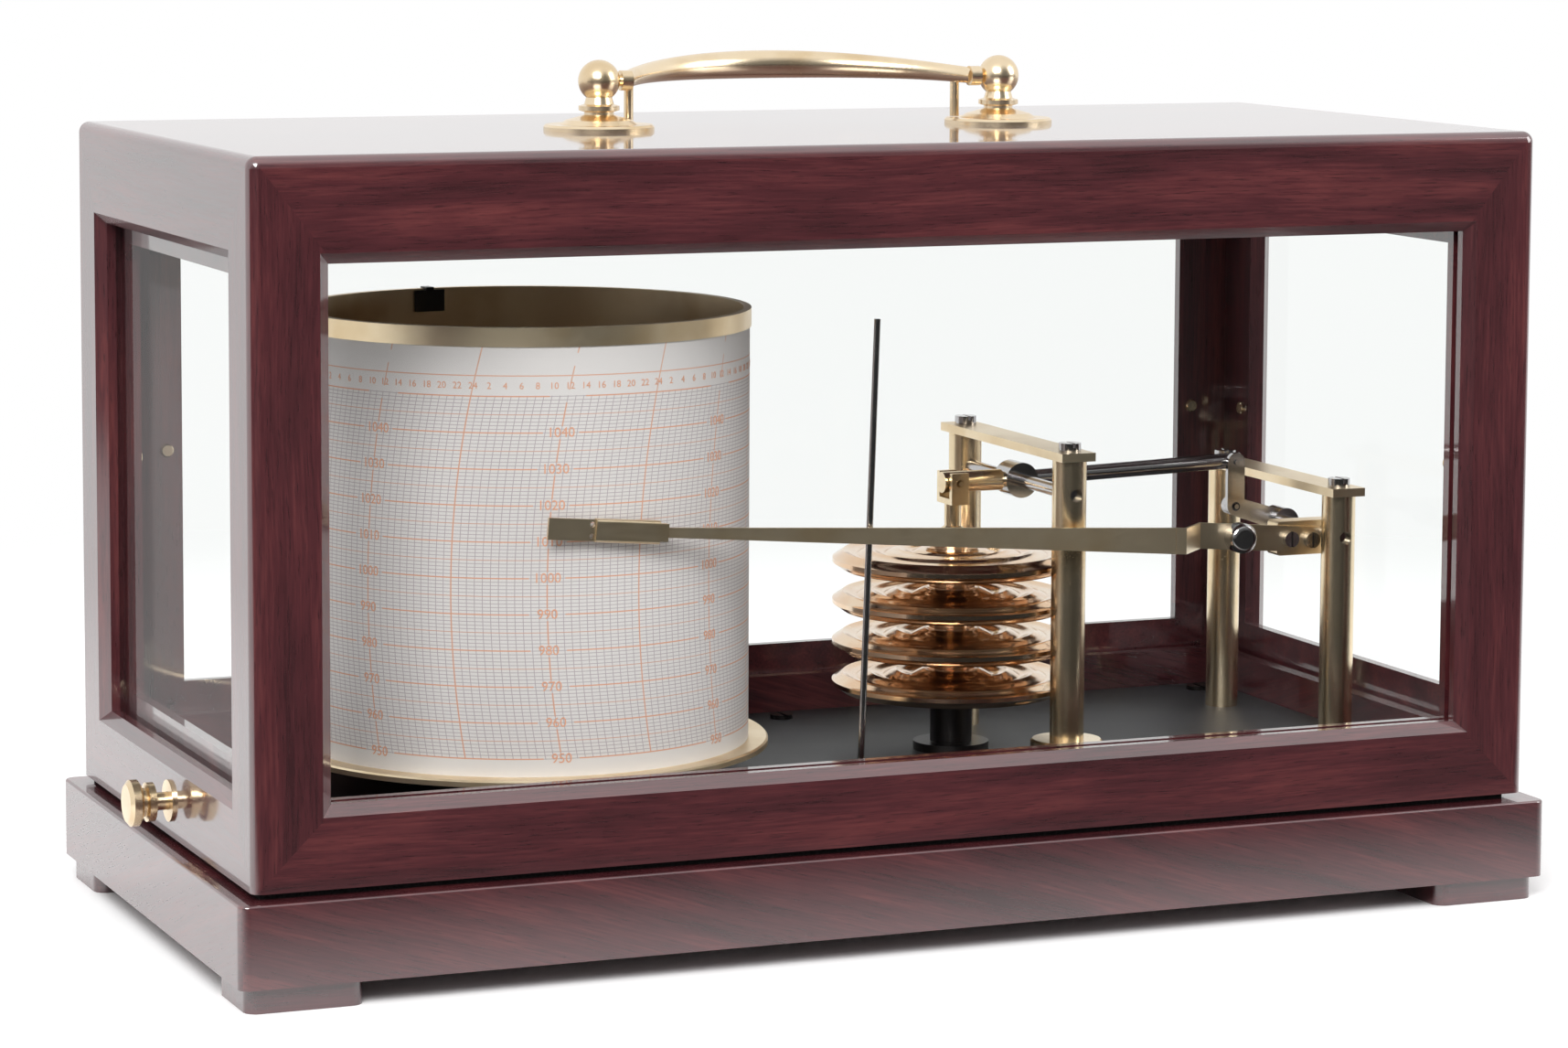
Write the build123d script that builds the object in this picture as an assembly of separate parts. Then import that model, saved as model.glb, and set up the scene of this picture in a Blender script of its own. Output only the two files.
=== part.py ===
from build123d import *
import math
import os

# A barograph in a glazed wooden case, in millimetres. +Z is up and the feet stand on z = 0.
# +X is to the right as seen from the front, and the front window faces -Y.

# Case: the glazed hood that swings up over the works
CASE_LENGTH = 308.0
CASE_DEPTH = 144.0
CASE_HEIGHT = 155.0
CASE_EDGE_ROUND = 2.5
FRAME_THICKNESS = 9.0
STILE_WIDTH = 17.8
TOP_RAIL_WIDTH = 22.8
BOTTOM_RAIL_WIDTH = 17.8
MOULDING_BEVEL = 2.4
LIP_THICKNESS = 4.5
REBATE_WIDTH = 3.0
TOP_PANEL_THICKNESS = 8.0
GLASS_THICKNESS = 2.0
GLASS_CLEARANCE = 0.3
FRONT_BEAD_WIDTH = 3.0
BEAD_WIDTH = 7.5
BEAD_SCREW_RADIUS = 1.6
BEAD_SCREW_HEAD = 0.8

# Plinth, feet and the raised strips that the hood fits over
PLINTH_OVERHANG = 4.0
PLINTH_HEIGHT = 18.0
PLINTH_CORNER_ROUND = 2.5
PLINTH_EDGE_ROUND = 0.6
FOOT_LENGTH = 26.0
FOOT_WIDTH = 22.0
FOOT_HEIGHT = 5.5
FOOT_INSET = 1.8
FOOT_CORNER_ROUND = 3.0
FOOT_RECESS_CLEARANCE = 0.3
SEAL_THICKNESS = 1.2
SEAL_WIDTH = 3.5
SEAL_INSET = 2.0
SEAL_GAP = 0.2
UPSTAND_CLEARANCE = 0.8
UPSTAND_THICKNESS = 4.5
UPSTAND_HEIGHT = 16.5
UPSTAND_CHAMFER = 1.0
FLOOR_PLATE_THICKNESS = 7.5
FLOOR_PLATE_CLEARANCE = 0.2
BASE_SCREW_RADIUS = 2.8
BASE_SCREW_HEAD = 1.0
FLOOR_SCREW_X = 16.0

# Hinges on the right end
HINGE_PIN_RADIUS = 0.8
HINGE_PIN_CLEARANCE = 0.05
HINGE_BARREL_RADIUS = 1.6
HINGE_LEAF_THICKNESS = 0.55
HINGE_LEAF_WIDTH = 6.0
HINGE_LENGTH = 24.0
HINGE_SPACING = 84.0
HINGE_OFFSET = 1.8
KNUCKLE_GAP = 0.15

# Locking knob on the left end
KNOB_REACH = 10.0
KNOB_RADIUS = 5.2
KNOB_BOLT_RADIUS = 2.0
KNOB_BOLT_CLEARANCE = 0.08
KNOB_TRAVEL = 3.2
KNOB_Y = -6.0
KNOB_RAISE = 8.0
KNOB_DISC = 3.0
KNOB_WAIST = 1.5
KNOB_FLANGE = 1.6
BOLT_SETBACK = 0.2
ESCUTCHEON_THICKNESS = 0.6
KEEPER_WIDTH = 8.0
KEEPER_CLEARANCE = 0.3

# Carrying handle
HANDLE_SPACING = 100.6
PILLAR_BALL_RADIUS = 4.8
PILLAR_BALL_HEIGHT = 11.2
ROSE_RADIUS = 12.7
ROSE_THICKNESS = 1.3
BAIL_SAGITTA = 25.0
BAIL_TILT = 5.0
BAIL_END_RADIUS = 1.9
BAIL_GRIP_RADIUS = 3.3
BAIL_END_GAP = 0.3
BAIL_KNUCKLE_RADIUS = 2.3
BAIL_KNUCKLE_LENGTH = 2.6
BAIL_PIN_RADIUS = 1.3
BAIL_PIN_CLEARANCE = 0.06
BAIL_LEG_RADIUS = 1.1
BAIL_LEG_INSET = 9.1
BAIL_LEG_REACH = 5.0

# Chart drum with its clock
DRUM_X = -68.7
DRUM_RADIUS = 51.5
DRUM_WALL = 1.2
DRUM_TOP = 140.1
DRUM_BOTTOM = 39.6
DRUM_FLANGE_RADIUS = 56.3
DRUM_FLANGE_THICKNESS = 1.5
DRUM_BAND_HEIGHT = 4.2
DRUM_BAND_RADIUS = 52.1
CHART_THICKNESS = 0.25
CLIP_WIDTH = 7.5
CLIP_BAR_WIDTH = 2.0
CLIP_THICKNESS = 0.6
CLIP_BAR_THICKNESS = 0.3
CLIP_GAP = 0.05
CLIP_ANGLE = 97.0
CLOCK_RADIUS = 34.0
CLOCK_HEIGHT = 72.0
SPINDLE_RADIUS = 3.0
SPINDLE_CLEARANCE = 0.06
SPINDLE_FLANGE_RADIUS = 12.0
SPINDLE_FLANGE_THICKNESS = 1.8
DRUM_NUT_RADIUS = 6.0
DRUM_NUT_HEIGHT = 9.0
GEAR_MODULE = 0.8
GEAR_TEETH = 48
PINION_TEETH = 12
GEAR_THICKNESS = 2.0
GEAR_BACKLASH = 0.12
PINION_ARBOR_RADIUS = 1.2
PINION_ARBOR_LENGTH = 5.0

# Posts, bridges and their screws
POST_RADIUS = 4.0
LEVER_POST_X = 55.0
PEN_POST_X = 126.5
POST_FRONT_Y = -31.0
POST_REAR_Y = 27.0
LEVER_BRIDGE_TOP = 105.0
PEN_BRIDGE_TOP = 93.5
BRIDGE_THICKNESS = 2.0
BRIDGE_WIDTH = 8.6
BRIDGE_END = 5.0
BRIDGE_SCREW_RADIUS = 2.6
BRIDGE_SCREW_HEAD = 2.0
BRIDGE_SCREW_SHANK = 1.3
BRIDGE_SCREW_LENGTH = 5.0
PIVOT_SCREW_RADIUS = 1.5
PIVOT_SCREW_RECESS = 1.6
PIVOT_SCREW_PROUD = 0.3
PIVOT_PIN_RADIUS = 0.6
PIVOT_PIN_LENGTH = 1.3
PIVOT_CLEARANCE = 0.05
SHAFT_END_GAP = 0.4
COLLAR_RADIUS = 8.5
COLLAR_THICKNESS = 1.8
COLLAR_RAISE = 4.5

# Capsule stack
CAPSULE_X = 38.5
CAPSULE_Y = -2.0
CAPSULE_RADIUS = 28.5
CAPSULE_PITCH = 9.75
CAPSULE_COUNT = 4
CAPSULE_RIM_TOP = 76.5
CAPSULE_RIM_THICKNESS = 1.0
CAPSULE_HALF_DEPTH = 3.1
CAPSULE_WAVES = 3
CAPSULE_WAVE_HEIGHT = 1.1
CAPSULE_HUB_RADIUS = 5.5
PEDESTAL_RADIUS = 5.0
PEDESTAL_FOOT_RADIUS = 9.0
PEDESTAL_FOOT_THICKNESS = 2.0

# First lever
LEVER_AXIS_Z = 95.0
LEVER_SHAFT_RADIUS = 1.6
LEVER_HUB_RADIUS = 4.2
LEVER_HUB_LENGTH = 7.0
LEVER_ROD_RADIUS = 1.9
LEVER_SLEEVE_RADIUS = 2.5
LEVER_RIGHT_ARM = 57.5
LEVER_END_EXTRA = 2.5
LEVER_RISE = 1.8
FORK_GAP = 0.35
FORK_CHEEK = 1.4

# Pen shaft, crank and link
PEN_AXIS_Z = 81.5
PEN_SHAFT_RADIUS = 1.6
CRANK_REACH = 14.0
CRANK_RISE = 4.5
CRANK_WIDTH = 4.4
CRANK_THICKNESS = 2.0
LINK_WIDTH = 4.6
LINK_THICKNESS = 1.2
LINK_PIN_RADIUS = 0.6
LINK_TOP_CLEARANCE = 0.06
LINK_FOOT_CLEARANCE = 0.5

# Pen arm
ARM_THICKNESS = 0.8
ARM_ROOT_HEIGHT = 6.2
ARM_TIP_HEIGHT = 2.2
ARM_SLOPE = 0.0816
ARM_ROOT_Y = -24.0
ARM_JOG_START_X = 93.0
ARM_SPLIT_X = 80.0
ARM_SPLIT_Y = -36.6
ARM_SPLIT_GAP = 0.1
ARM_AXIS_DROP = 1.9
PEN_X = -70.5
HOLDER_LENGTH = 15.0
HOLDER_HEIGHT = 5.2
HOLDER_THICKNESS = 2.2
HOLDER_COLLAR = 2.0
HOLDER_SEAT_GAP = 0.15
TIP_PLATE_LENGTH = 11.0
NIB_RADIUS = 0.7
NIB_CLEARANCE = 0.6
PEN_CLEARANCE = 0.9
THUMB_SCREW_X = 103.0
THUMB_SCREW_RADIUS = 3.6
THUMB_SCREW_HEAD = 4.0
ARM_SCREW_RADIUS = 1.9
ARM_SCREW_HEAD = 1.4
ARM_SCREW_SPACING = 5.7

# Pen lifter
LIFTER_X = -3.5
LIFTER_Y = -44.7
LIFTER_RADIUS = 0.75
LIFTER_LEAN = 1.9
LIFTER_AXIS_RAISE = 5.0
LIFTER_LENGTH = 103.0
LIFTER_HUB_RADIUS = 2.6
LIFTER_HUB_LENGTH = 5.0
LIFTER_PIN_RADIUS = 1.0
LIFTER_PIN_CLEARANCE = 0.06

# Levels and lengths that follow from the sizes above
PLINTH_TOP = FOOT_HEIGHT + PLINTH_HEIGHT
CASE_BOTTOM = PLINTH_TOP + SEAL_THICKNESS + SEAL_GAP
CASE_TOP = CASE_BOTTOM + CASE_HEIGHT
INNER_X = CASE_LENGTH / 2 - FRAME_THICKNESS
INNER_Y = CASE_DEPTH / 2 - FRAME_THICKNESS
FLOOR_TOP = PLINTH_TOP + FLOOR_PLATE_THICKNESS
UPSTAND_OUTER_X = INNER_X - UPSTAND_CLEARANCE
UPSTAND_OUTER_Y = INNER_Y - UPSTAND_CLEARANCE
UPSTAND_INNER_X = UPSTAND_OUTER_X - UPSTAND_THICKNESS
UPSTAND_INNER_Y = UPSTAND_OUTER_Y - UPSTAND_THICKNESS
HINGE_X = CASE_LENGTH / 2 + HINGE_OFFSET
HINGE_Z = PLINTH_TOP + HINGE_BARREL_RADIUS + 0.1
KNOB_Z = CASE_BOTTOM + KNOB_RAISE
BALL_Z = CASE_TOP + PILLAR_BALL_HEIGHT
CHART_RADIUS = DRUM_RADIUS + CHART_THICKNESS
GEAR_BOTTOM = FLOOR_TOP + SPINDLE_FLANGE_THICKNESS + 1.0
# The origin is the middle of the footprint, and the knob makes that longer on the left.
ORIGIN_SHIFT = (KNOB_REACH - PLINTH_OVERHANG) / 2


def block(x, y, z):
    """Box between two limits on each axis."""
    size = [limits[1] - limits[0] for limits in (x, y, z)]
    middle = [(limits[0] + limits[1]) / 2 for limits in (x, y, z)]
    return Pos(*middle) * Box(*size)


def upright(x, y, z_low, z_high, radius):
    """Round bar along Z."""
    return Pos(x, y, (z_low + z_high) / 2) * Cylinder(radius, z_high - z_low)


def along_x(x_low, x_high, y, z, radius):
    """Round bar along X."""
    return Pos((x_low + x_high) / 2, y, z) * Rot(0, 90, 0) * Cylinder(radius, x_high - x_low)


def along_y(x, y_low, y_high, z, radius):
    """Round bar along Y."""
    return Pos(x, (y_low + y_high) / 2, z) * Rot(90, 0, 0) * Cylinder(radius, y_high - y_low)


def turned(outline, place):
    """Solid turned about its own Z axis from (radius, height) points, then placed."""
    face = make_face(Plane.XZ * Polyline(*outline, close=True))
    return place * revolve(face, Axis.Z)


def prism_y(outline, y_low, y_high):
    """Solid with an (x, z) outline between two y values."""
    plane = Plane(origin=(0, y_high, 0), x_dir=(1, 0, 0), z_dir=(0, -1, 0))
    face = make_face(plane * Polyline(*outline, close=True))
    return extrude(face, y_high - y_low)


def prism_z(outline, z_low, z_high):
    """Solid with an (x, y) outline between two heights."""
    face = make_face(Plane.XY.offset(z_low) * Polyline(*outline, close=True))
    return extrude(face, z_high - z_low)


def group(solids):
    """Several separate solids that make one sub-part."""
    return Compound(children=list(solids))


def wall_places():
    """The four walls of the case: name, length and the place of the wall's outer face."""
    return {
        "front": (CASE_LENGTH, Pos(0, -CASE_DEPTH / 2, CASE_BOTTOM)),
        "rear": (CASE_LENGTH, Pos(0, CASE_DEPTH / 2, CASE_BOTTOM) * Rot(0, 0, 180)),
        "left": (CASE_DEPTH, Pos(-CASE_LENGTH / 2, 0, CASE_BOTTOM) * Rot(0, 0, -90)),
        "right": (CASE_DEPTH, Pos(CASE_LENGTH / 2, 0, CASE_BOTTOM) * Rot(0, 0, 90)),
    }


def rounded_case():
    """Outer shape of the case, with its upright and top edges rounded."""
    body = block((-CASE_LENGTH / 2, CASE_LENGTH / 2), (-CASE_DEPTH / 2, CASE_DEPTH / 2), (CASE_BOTTOM, CASE_TOP))
    edges = body.edges().filter_by(Axis.Z) + body.faces().sort_by(Axis.Z)[-1].edges()
    return fillet(edges, CASE_EDGE_ROUND)


def opening_outline(length, grow):
    """Corners of a wall's window, made larger all round by grow."""
    side = length / 2 - STILE_WIDTH + grow
    return [(-side, BOTTOM_RAIL_WIDTH - grow), (side, BOTTOM_RAIL_WIDTH - grow),
            (side, CASE_HEIGHT - TOP_RAIL_WIDTH + grow), (-side, CASE_HEIGHT - TOP_RAIL_WIDTH + grow)]


def wall_rails(name):
    """The four rails of one wall, mitred at the window's corners and at the case's corners."""
    length, place = wall_places()[name]
    plan = [(-length / 2, 0), (length / 2, 0),
            (length / 2 - FRAME_THICKNESS, FRAME_THICKNESS), (-length / 2 + FRAME_THICKNESS, FRAME_THICKNESS)]
    wall = prism_z(plan, 0, CASE_HEIGHT)
    wall -= prism_y(opening_outline(length, 0), -1, FRAME_THICKNESS + 1)
    wall -= prism_y(opening_outline(length, REBATE_WIDTH), LIP_THICKNESS, FRAME_THICKNESS + 1)
    wide = make_face(Plane.XZ * Polyline(*opening_outline(length, MOULDING_BEVEL), close=True))
    narrow = make_face(Plane.XZ.offset(-MOULDING_BEVEL) * Polyline(*opening_outline(length, 0), close=True))
    wall -= loft([wide, narrow])
    window = opening_outline(length, 0)
    corners = [(-length / 2, 0), (length / 2, 0), (length / 2, CASE_HEIGHT), (-length / 2, CASE_HEIGHT)]
    shape = rounded_case()
    rails = []
    for index in range(4):
        after = (index + 1) % 4
        sector = [corners[index], corners[after], window[after], window[index]]
        rail = place * (wall & prism_y(sector, -1, FRAME_THICKNESS + 1))
        rails.append(rail & shape)
    return group(solid for rail in rails for solid in rail.solids())


def top_panel():
    """Board that closes the hood, flush with the top of its rails."""
    return block((-INNER_X, INNER_X), (-INNER_Y, INNER_Y), (CASE_TOP - TOP_PANEL_THICKNESS, CASE_TOP))


def glass_panes(names):
    """Panes that lie in the rebates of the named walls."""
    panes = []
    for name in names:
        length, place = wall_places()[name]
        outline = opening_outline(length, REBATE_WIDTH - GLASS_CLEARANCE)
        panes.append(place * prism_y(outline, LIP_THICKNESS, LIP_THICKNESS + GLASS_THICKNESS))
    return group(panes)


def bead_width(name):
    return FRONT_BEAD_WIDTH if name == "front" else BEAD_WIDTH


def glazing_beads():
    """Strips that hold each pane in its rebate: two uprights with two level strips between them."""
    beads = []
    for name, (length, place) in wall_places().items():
        width = bead_width(name)
        depth = (LIP_THICKNESS + GLASS_THICKNESS, FRAME_THICKNESS)
        outer = opening_outline(length, REBATE_WIDTH)
        left, bottom = outer[0]
        right, top = outer[2]
        beads.append(place * block((left, left + width), depth, (bottom, top)))
        beads.append(place * block((right - width, right), depth, (bottom, top)))
        beads.append(place * block((left + width, right - width), depth, (bottom, bottom + width)))
        beads.append(place * block((left + width, right - width), depth, (top - width, top)))
    return group(beads)


def bead_screws():
    """Round-headed screws in the upright and top beads."""
    screws = []
    for name, (length, place) in wall_places().items():
        half = bead_width(name) / 2
        side = length / 2 - STILE_WIDTH + REBATE_WIDTH - half
        middle = CASE_HEIGHT / 2
        top = CASE_HEIGHT - TOP_RAIL_WIDTH + REBATE_WIDTH - half
        spots = [(-side, middle), (side, middle)]
        spots += [(-length / 4, top), (length / 4, top)]
        radius = min(BEAD_SCREW_RADIUS, half)
        for x, z in spots:
            head = along_y(x, FRAME_THICKNESS, FRAME_THICKNESS + BEAD_SCREW_HEAD, z, radius)
            screws.append(place * chamfer(head.edges().sort_by(Axis.Y)[-1], BEAD_SCREW_HEAD * 0.4))
    return group(screws)


def plinth():
    """Board under the case, with rounded corners and a softened top edge."""
    half_x = CASE_LENGTH / 2 + PLINTH_OVERHANG
    half_y = CASE_DEPTH / 2 + PLINTH_OVERHANG
    board = block((-half_x, half_x), (-half_y, half_y), (FOOT_HEIGHT, PLINTH_TOP))
    board = fillet(board.edges().filter_by(Axis.Z), PLINTH_CORNER_ROUND)
    return fillet(board.faces().sort_by(Axis.Z)[-1].edges(), PLINTH_EDGE_ROUND)


def foot_centres():
    x = CASE_LENGTH / 2 + PLINTH_OVERHANG - FOOT_INSET - FOOT_LENGTH / 2
    y = CASE_DEPTH / 2 + PLINTH_OVERHANG - FOOT_INSET - FOOT_WIDTH / 2
    return [(sx * x, sy * y) for sx in (-1, 1) for sy in (-1, 1)]


def feet():
    """Four wooden blocks, each with a countersink for its screw."""
    solids = []
    for x, y in foot_centres():
        foot = Pos(x, y, FOOT_HEIGHT / 2) * Box(FOOT_LENGTH, FOOT_WIDTH, FOOT_HEIGHT)
        foot = fillet(foot.edges().filter_by(Axis.Z), FOOT_CORNER_ROUND)
        foot -= upright(x, y, -1, FOOT_HEIGHT / 2, BASE_SCREW_RADIUS + FOOT_RECESS_CLEARANCE)
        solids.append(foot)
    return group(solids)


def foot_screws():
    """Screw heads at the bottom of the countersinks in the feet."""
    low = FOOT_HEIGHT / 2 - BASE_SCREW_HEAD
    return group(slotted_head(x, y, FOOT_HEIGHT / 2, low, BASE_SCREW_RADIUS) for x, y in foot_centres())


def slotted_head(x, y, z_seat, z_face, radius):
    """Cheese head between its seat and its outer face, with a screwdriver slot."""
    low, high = sorted((z_seat, z_face))
    head = upright(x, y, low, high, radius)
    depth = (high - low) * 0.5
    slot_z = (z_face - depth, z_face + 1) if z_face > z_seat else (z_face - 1, z_face + depth)
    return head - block((x - radius * 0.14, x + radius * 0.14), (y - radius - 1, y + radius + 1), slot_z)


def upstand_strips():
    """Mitred strips on the plinth that guide the hood into place. The keeper stands in a break of the left one."""
    solids = []
    sides = ((UPSTAND_OUTER_X, UPSTAND_OUTER_Y, 0), (UPSTAND_OUTER_Y, UPSTAND_OUTER_X, 90))
    for half_length, half_depth, angle in sides:
        for turn in (0, 180):
            plan = [(-half_length, -half_depth), (half_length, -half_depth),
                    (half_length - UPSTAND_THICKNESS, UPSTAND_THICKNESS - half_depth),
                    (UPSTAND_THICKNESS - half_length, UPSTAND_THICKNESS - half_depth)]
            strip = prism_z(plan, PLINTH_TOP, PLINTH_TOP + UPSTAND_HEIGHT)
            ridge = strip.faces().sort_by(Axis.Z)[-1].edges().sort_by(Axis.Y)[0]
            strip = Rot(0, 0, angle + turn) * chamfer(ridge, UPSTAND_CHAMFER)
            solids.extend((strip - keeper_block()).solids())
    return group(solids)


def keeper_block():
    """Outside of the lock's keeper, which fills a break in the left strip."""
    return block((-UPSTAND_OUTER_X, -UPSTAND_INNER_X), (KNOB_Y - KEEPER_WIDTH / 2, KNOB_Y + KEEPER_WIDTH / 2),
                 (PLINTH_TOP, PLINTH_TOP + UPSTAND_HEIGHT))


def lock_keeper():
    """Block in the left strip whose bore takes the locking bolt."""
    bore = KNOB_BOLT_RADIUS + KEEPER_CLEARANCE
    return keeper_block() - along_x(-UPSTAND_OUTER_X - 1, -UPSTAND_INNER_X + 1, KNOB_Y, KNOB_Z, bore)


def floor_plate():
    """Black plate between the strips that carries the works."""
    half_x = UPSTAND_INNER_X - FLOOR_PLATE_CLEARANCE
    half_y = UPSTAND_INNER_Y - FLOOR_PLATE_CLEARANCE
    return block((-half_x, half_x), (-half_y, half_y), (PLINTH_TOP, FLOOR_TOP))


def floor_screws():
    """Screws that hold the floor plate down."""
    x = UPSTAND_INNER_X - 3 * BASE_SCREW_RADIUS
    y = UPSTAND_INNER_Y - 3 * BASE_SCREW_RADIUS
    spots = [(px, side * y) for px in (-x, FLOOR_SCREW_X, x) for side in (-1, 1)]
    high = FLOOR_TOP + BASE_SCREW_HEAD
    return group(slotted_head(px, py, FLOOR_TOP, high, BASE_SCREW_RADIUS) for px, py in spots)


def seal_strips():
    """Felt strips on the plinth for the hood to stand on, clear of the hinge leaves on the right."""
    outer_x = CASE_LENGTH / 2 - SEAL_INSET
    outer_y = CASE_DEPTH / 2 - SEAL_INSET
    height = (PLINTH_TOP, PLINTH_TOP + SEAL_THICKNESS)
    right = CASE_LENGTH / 2 - HINGE_LEAF_WIDTH + HINGE_OFFSET - GLASS_CLEARANCE
    return group([
        block((-outer_x, right), (-outer_y, SEAL_WIDTH - outer_y), height),
        block((-outer_x, right), (outer_y - SEAL_WIDTH, outer_y), height),
        block((-outer_x, SEAL_WIDTH - outer_x), (SEAL_WIDTH - outer_y, outer_y - SEAL_WIDTH), height),
        block((right - SEAL_WIDTH, right), (SEAL_WIDTH - outer_y, outer_y - SEAL_WIDTH), height),
    ])


def hinge_leaf(y, knuckles, z_low, z_high):
    """Leaf with its share of the three knuckles. The leaf lies in the gap under the hood."""
    knuckle = HINGE_LENGTH / 3
    start = y - HINGE_LENGTH / 2
    leaf = block((HINGE_X - HINGE_LEAF_WIDTH, HINGE_X - HINGE_BARREL_RADIUS * 0.6), (start, start + HINGE_LENGTH),
                 (z_low, z_high))
    for index in range(3):
        low = start + index * knuckle
        ring = along_y(HINGE_X, low, low + knuckle, HINGE_Z, HINGE_BARREL_RADIUS)
        if index in knuckles:
            leaf += along_y(HINGE_X, low + KNUCKLE_GAP, low + knuckle - KNUCKLE_GAP, HINGE_Z, HINGE_BARREL_RADIUS)
        else:
            leaf -= along_y(HINGE_X, low - KNUCKLE_GAP, low + knuckle + KNUCKLE_GAP, HINGE_Z,
                            HINGE_BARREL_RADIUS + KNUCKLE_GAP)
    bore = HINGE_PIN_RADIUS + HINGE_PIN_CLEARANCE
    return leaf - along_y(HINGE_X, start - 1, start + HINGE_LENGTH + 1, HINGE_Z, bore)


def hinge_places():
    return (-HINGE_SPACING / 2, HINGE_SPACING / 2)


def hinge_base_leaves():
    """Leaves on the plinth, each with the outer knuckles."""
    low = PLINTH_TOP
    return group(hinge_leaf(y, (0, 2), low, low + HINGE_LEAF_THICKNESS) for y in hinge_places())


def hinge_hood_leaves():
    """Leaves under the hood, each with the middle knuckle."""
    return group(hinge_leaf(y, (1,), CASE_BOTTOM - HINGE_LEAF_THICKNESS, CASE_BOTTOM) for y in hinge_places())


def hinge_pins():
    half = HINGE_LENGTH / 2
    return group(along_y(HINGE_X, y - half, y + half, HINGE_Z, HINGE_PIN_RADIUS) for y in hinge_places())


def lock_knob():
    """Turned knob on the bolt that passes through the left bottom rail."""
    waist_radius = KNOB_RADIUS * 0.62
    flange_radius = KNOB_RADIUS * 0.84
    disc_back = KNOB_REACH - KNOB_DISC
    waist_back = disc_back - KNOB_WAIST
    flange_back = waist_back - KNOB_FLANGE
    stem_end = BOLT_SETBACK - FRAME_THICKNESS
    profile = [(0, KNOB_REACH), (KNOB_RADIUS - 1.0, KNOB_REACH), (KNOB_RADIUS, KNOB_REACH - 0.8),
               (KNOB_RADIUS, disc_back + 0.5), (KNOB_RADIUS - 0.6, disc_back), (waist_radius, disc_back - 0.3),
               (waist_radius, waist_back + 0.3), (flange_radius, waist_back), (flange_radius, flange_back),
               (KNOB_BOLT_RADIUS, flange_back), (KNOB_BOLT_RADIUS, stem_end + 0.5),
               (KNOB_BOLT_RADIUS - 0.5, stem_end), (0, stem_end)]
    return turned(profile, Pos(-CASE_LENGTH / 2, KNOB_Y, KNOB_Z) * Rot(0, -90, 0))


def knob_bore(radius):
    return along_x(-CASE_LENGTH / 2 - 1, -INNER_X + 1, KNOB_Y, KNOB_Z, radius)


def lock_escutcheon():
    """Thin ring round the bolt's hole, on the outside of the rail."""
    face = -CASE_LENGTH / 2
    outer = along_x(face - ESCUTCHEON_THICKNESS, face, KNOB_Y, KNOB_Z, KNOB_RADIUS * 0.9)
    return outer - knob_bore(KNOB_BOLT_RADIUS + KNOB_BOLT_CLEARANCE)


def left_frame():
    """The left wall's rails, with the bolt's bore through the bottom rail."""
    bore = knob_bore(KNOB_BOLT_RADIUS + KNOB_BOLT_CLEARANCE)
    return group((rail - bore).solids()[0] for rail in wall_rails("left").solids())


def handle_pillars():
    """Two turned pillars, each on a round rose and ending in a ball with a blind bore for the bail."""
    solids = []
    neck, collar = 3.4, 4.7
    for side in (-1, 1):
        x = side * HANDLE_SPACING / 2
        flat = ROSE_RADIUS - 3.7
        profile = [(0, 0), (ROSE_RADIUS, 0), (ROSE_RADIUS, ROSE_THICKNESS * 0.6), (ROSE_RADIUS - 0.5, ROSE_THICKNESS),
                   (flat, ROSE_THICKNESS), (flat - 1.5, ROSE_THICKNESS + 1.0), (collar + 0.6, ROSE_THICKNESS + 1.6),
                   (neck, ROSE_THICKNESS + 2.2), (neck, ROSE_THICKNESS + 2.8), (collar, ROSE_THICKNESS + 3.2),
                   (collar, ROSE_THICKNESS + 4.2), (neck, ROSE_THICKNESS + 4.6), (neck - 0.6, PILLAR_BALL_HEIGHT - 3.0),
                   (neck - 0.6, PILLAR_BALL_HEIGHT), (0, PILLAR_BALL_HEIGHT)]
        pillar = turned(profile, Pos(x, 0, CASE_TOP)) + Pos(x, 0, BALL_Z) * Sphere(PILLAR_BALL_RADIUS)
        bore = BAIL_PIN_RADIUS + BAIL_PIN_CLEARANCE
        inner = abs(x) - PILLAR_BALL_RADIUS - 1
        low, high = sorted((side * inner, side * (abs(x) - 1.0)))
        solids.append(pillar - along_x(low, high, 0, BALL_Z, bore))
    return group(solids)


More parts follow.
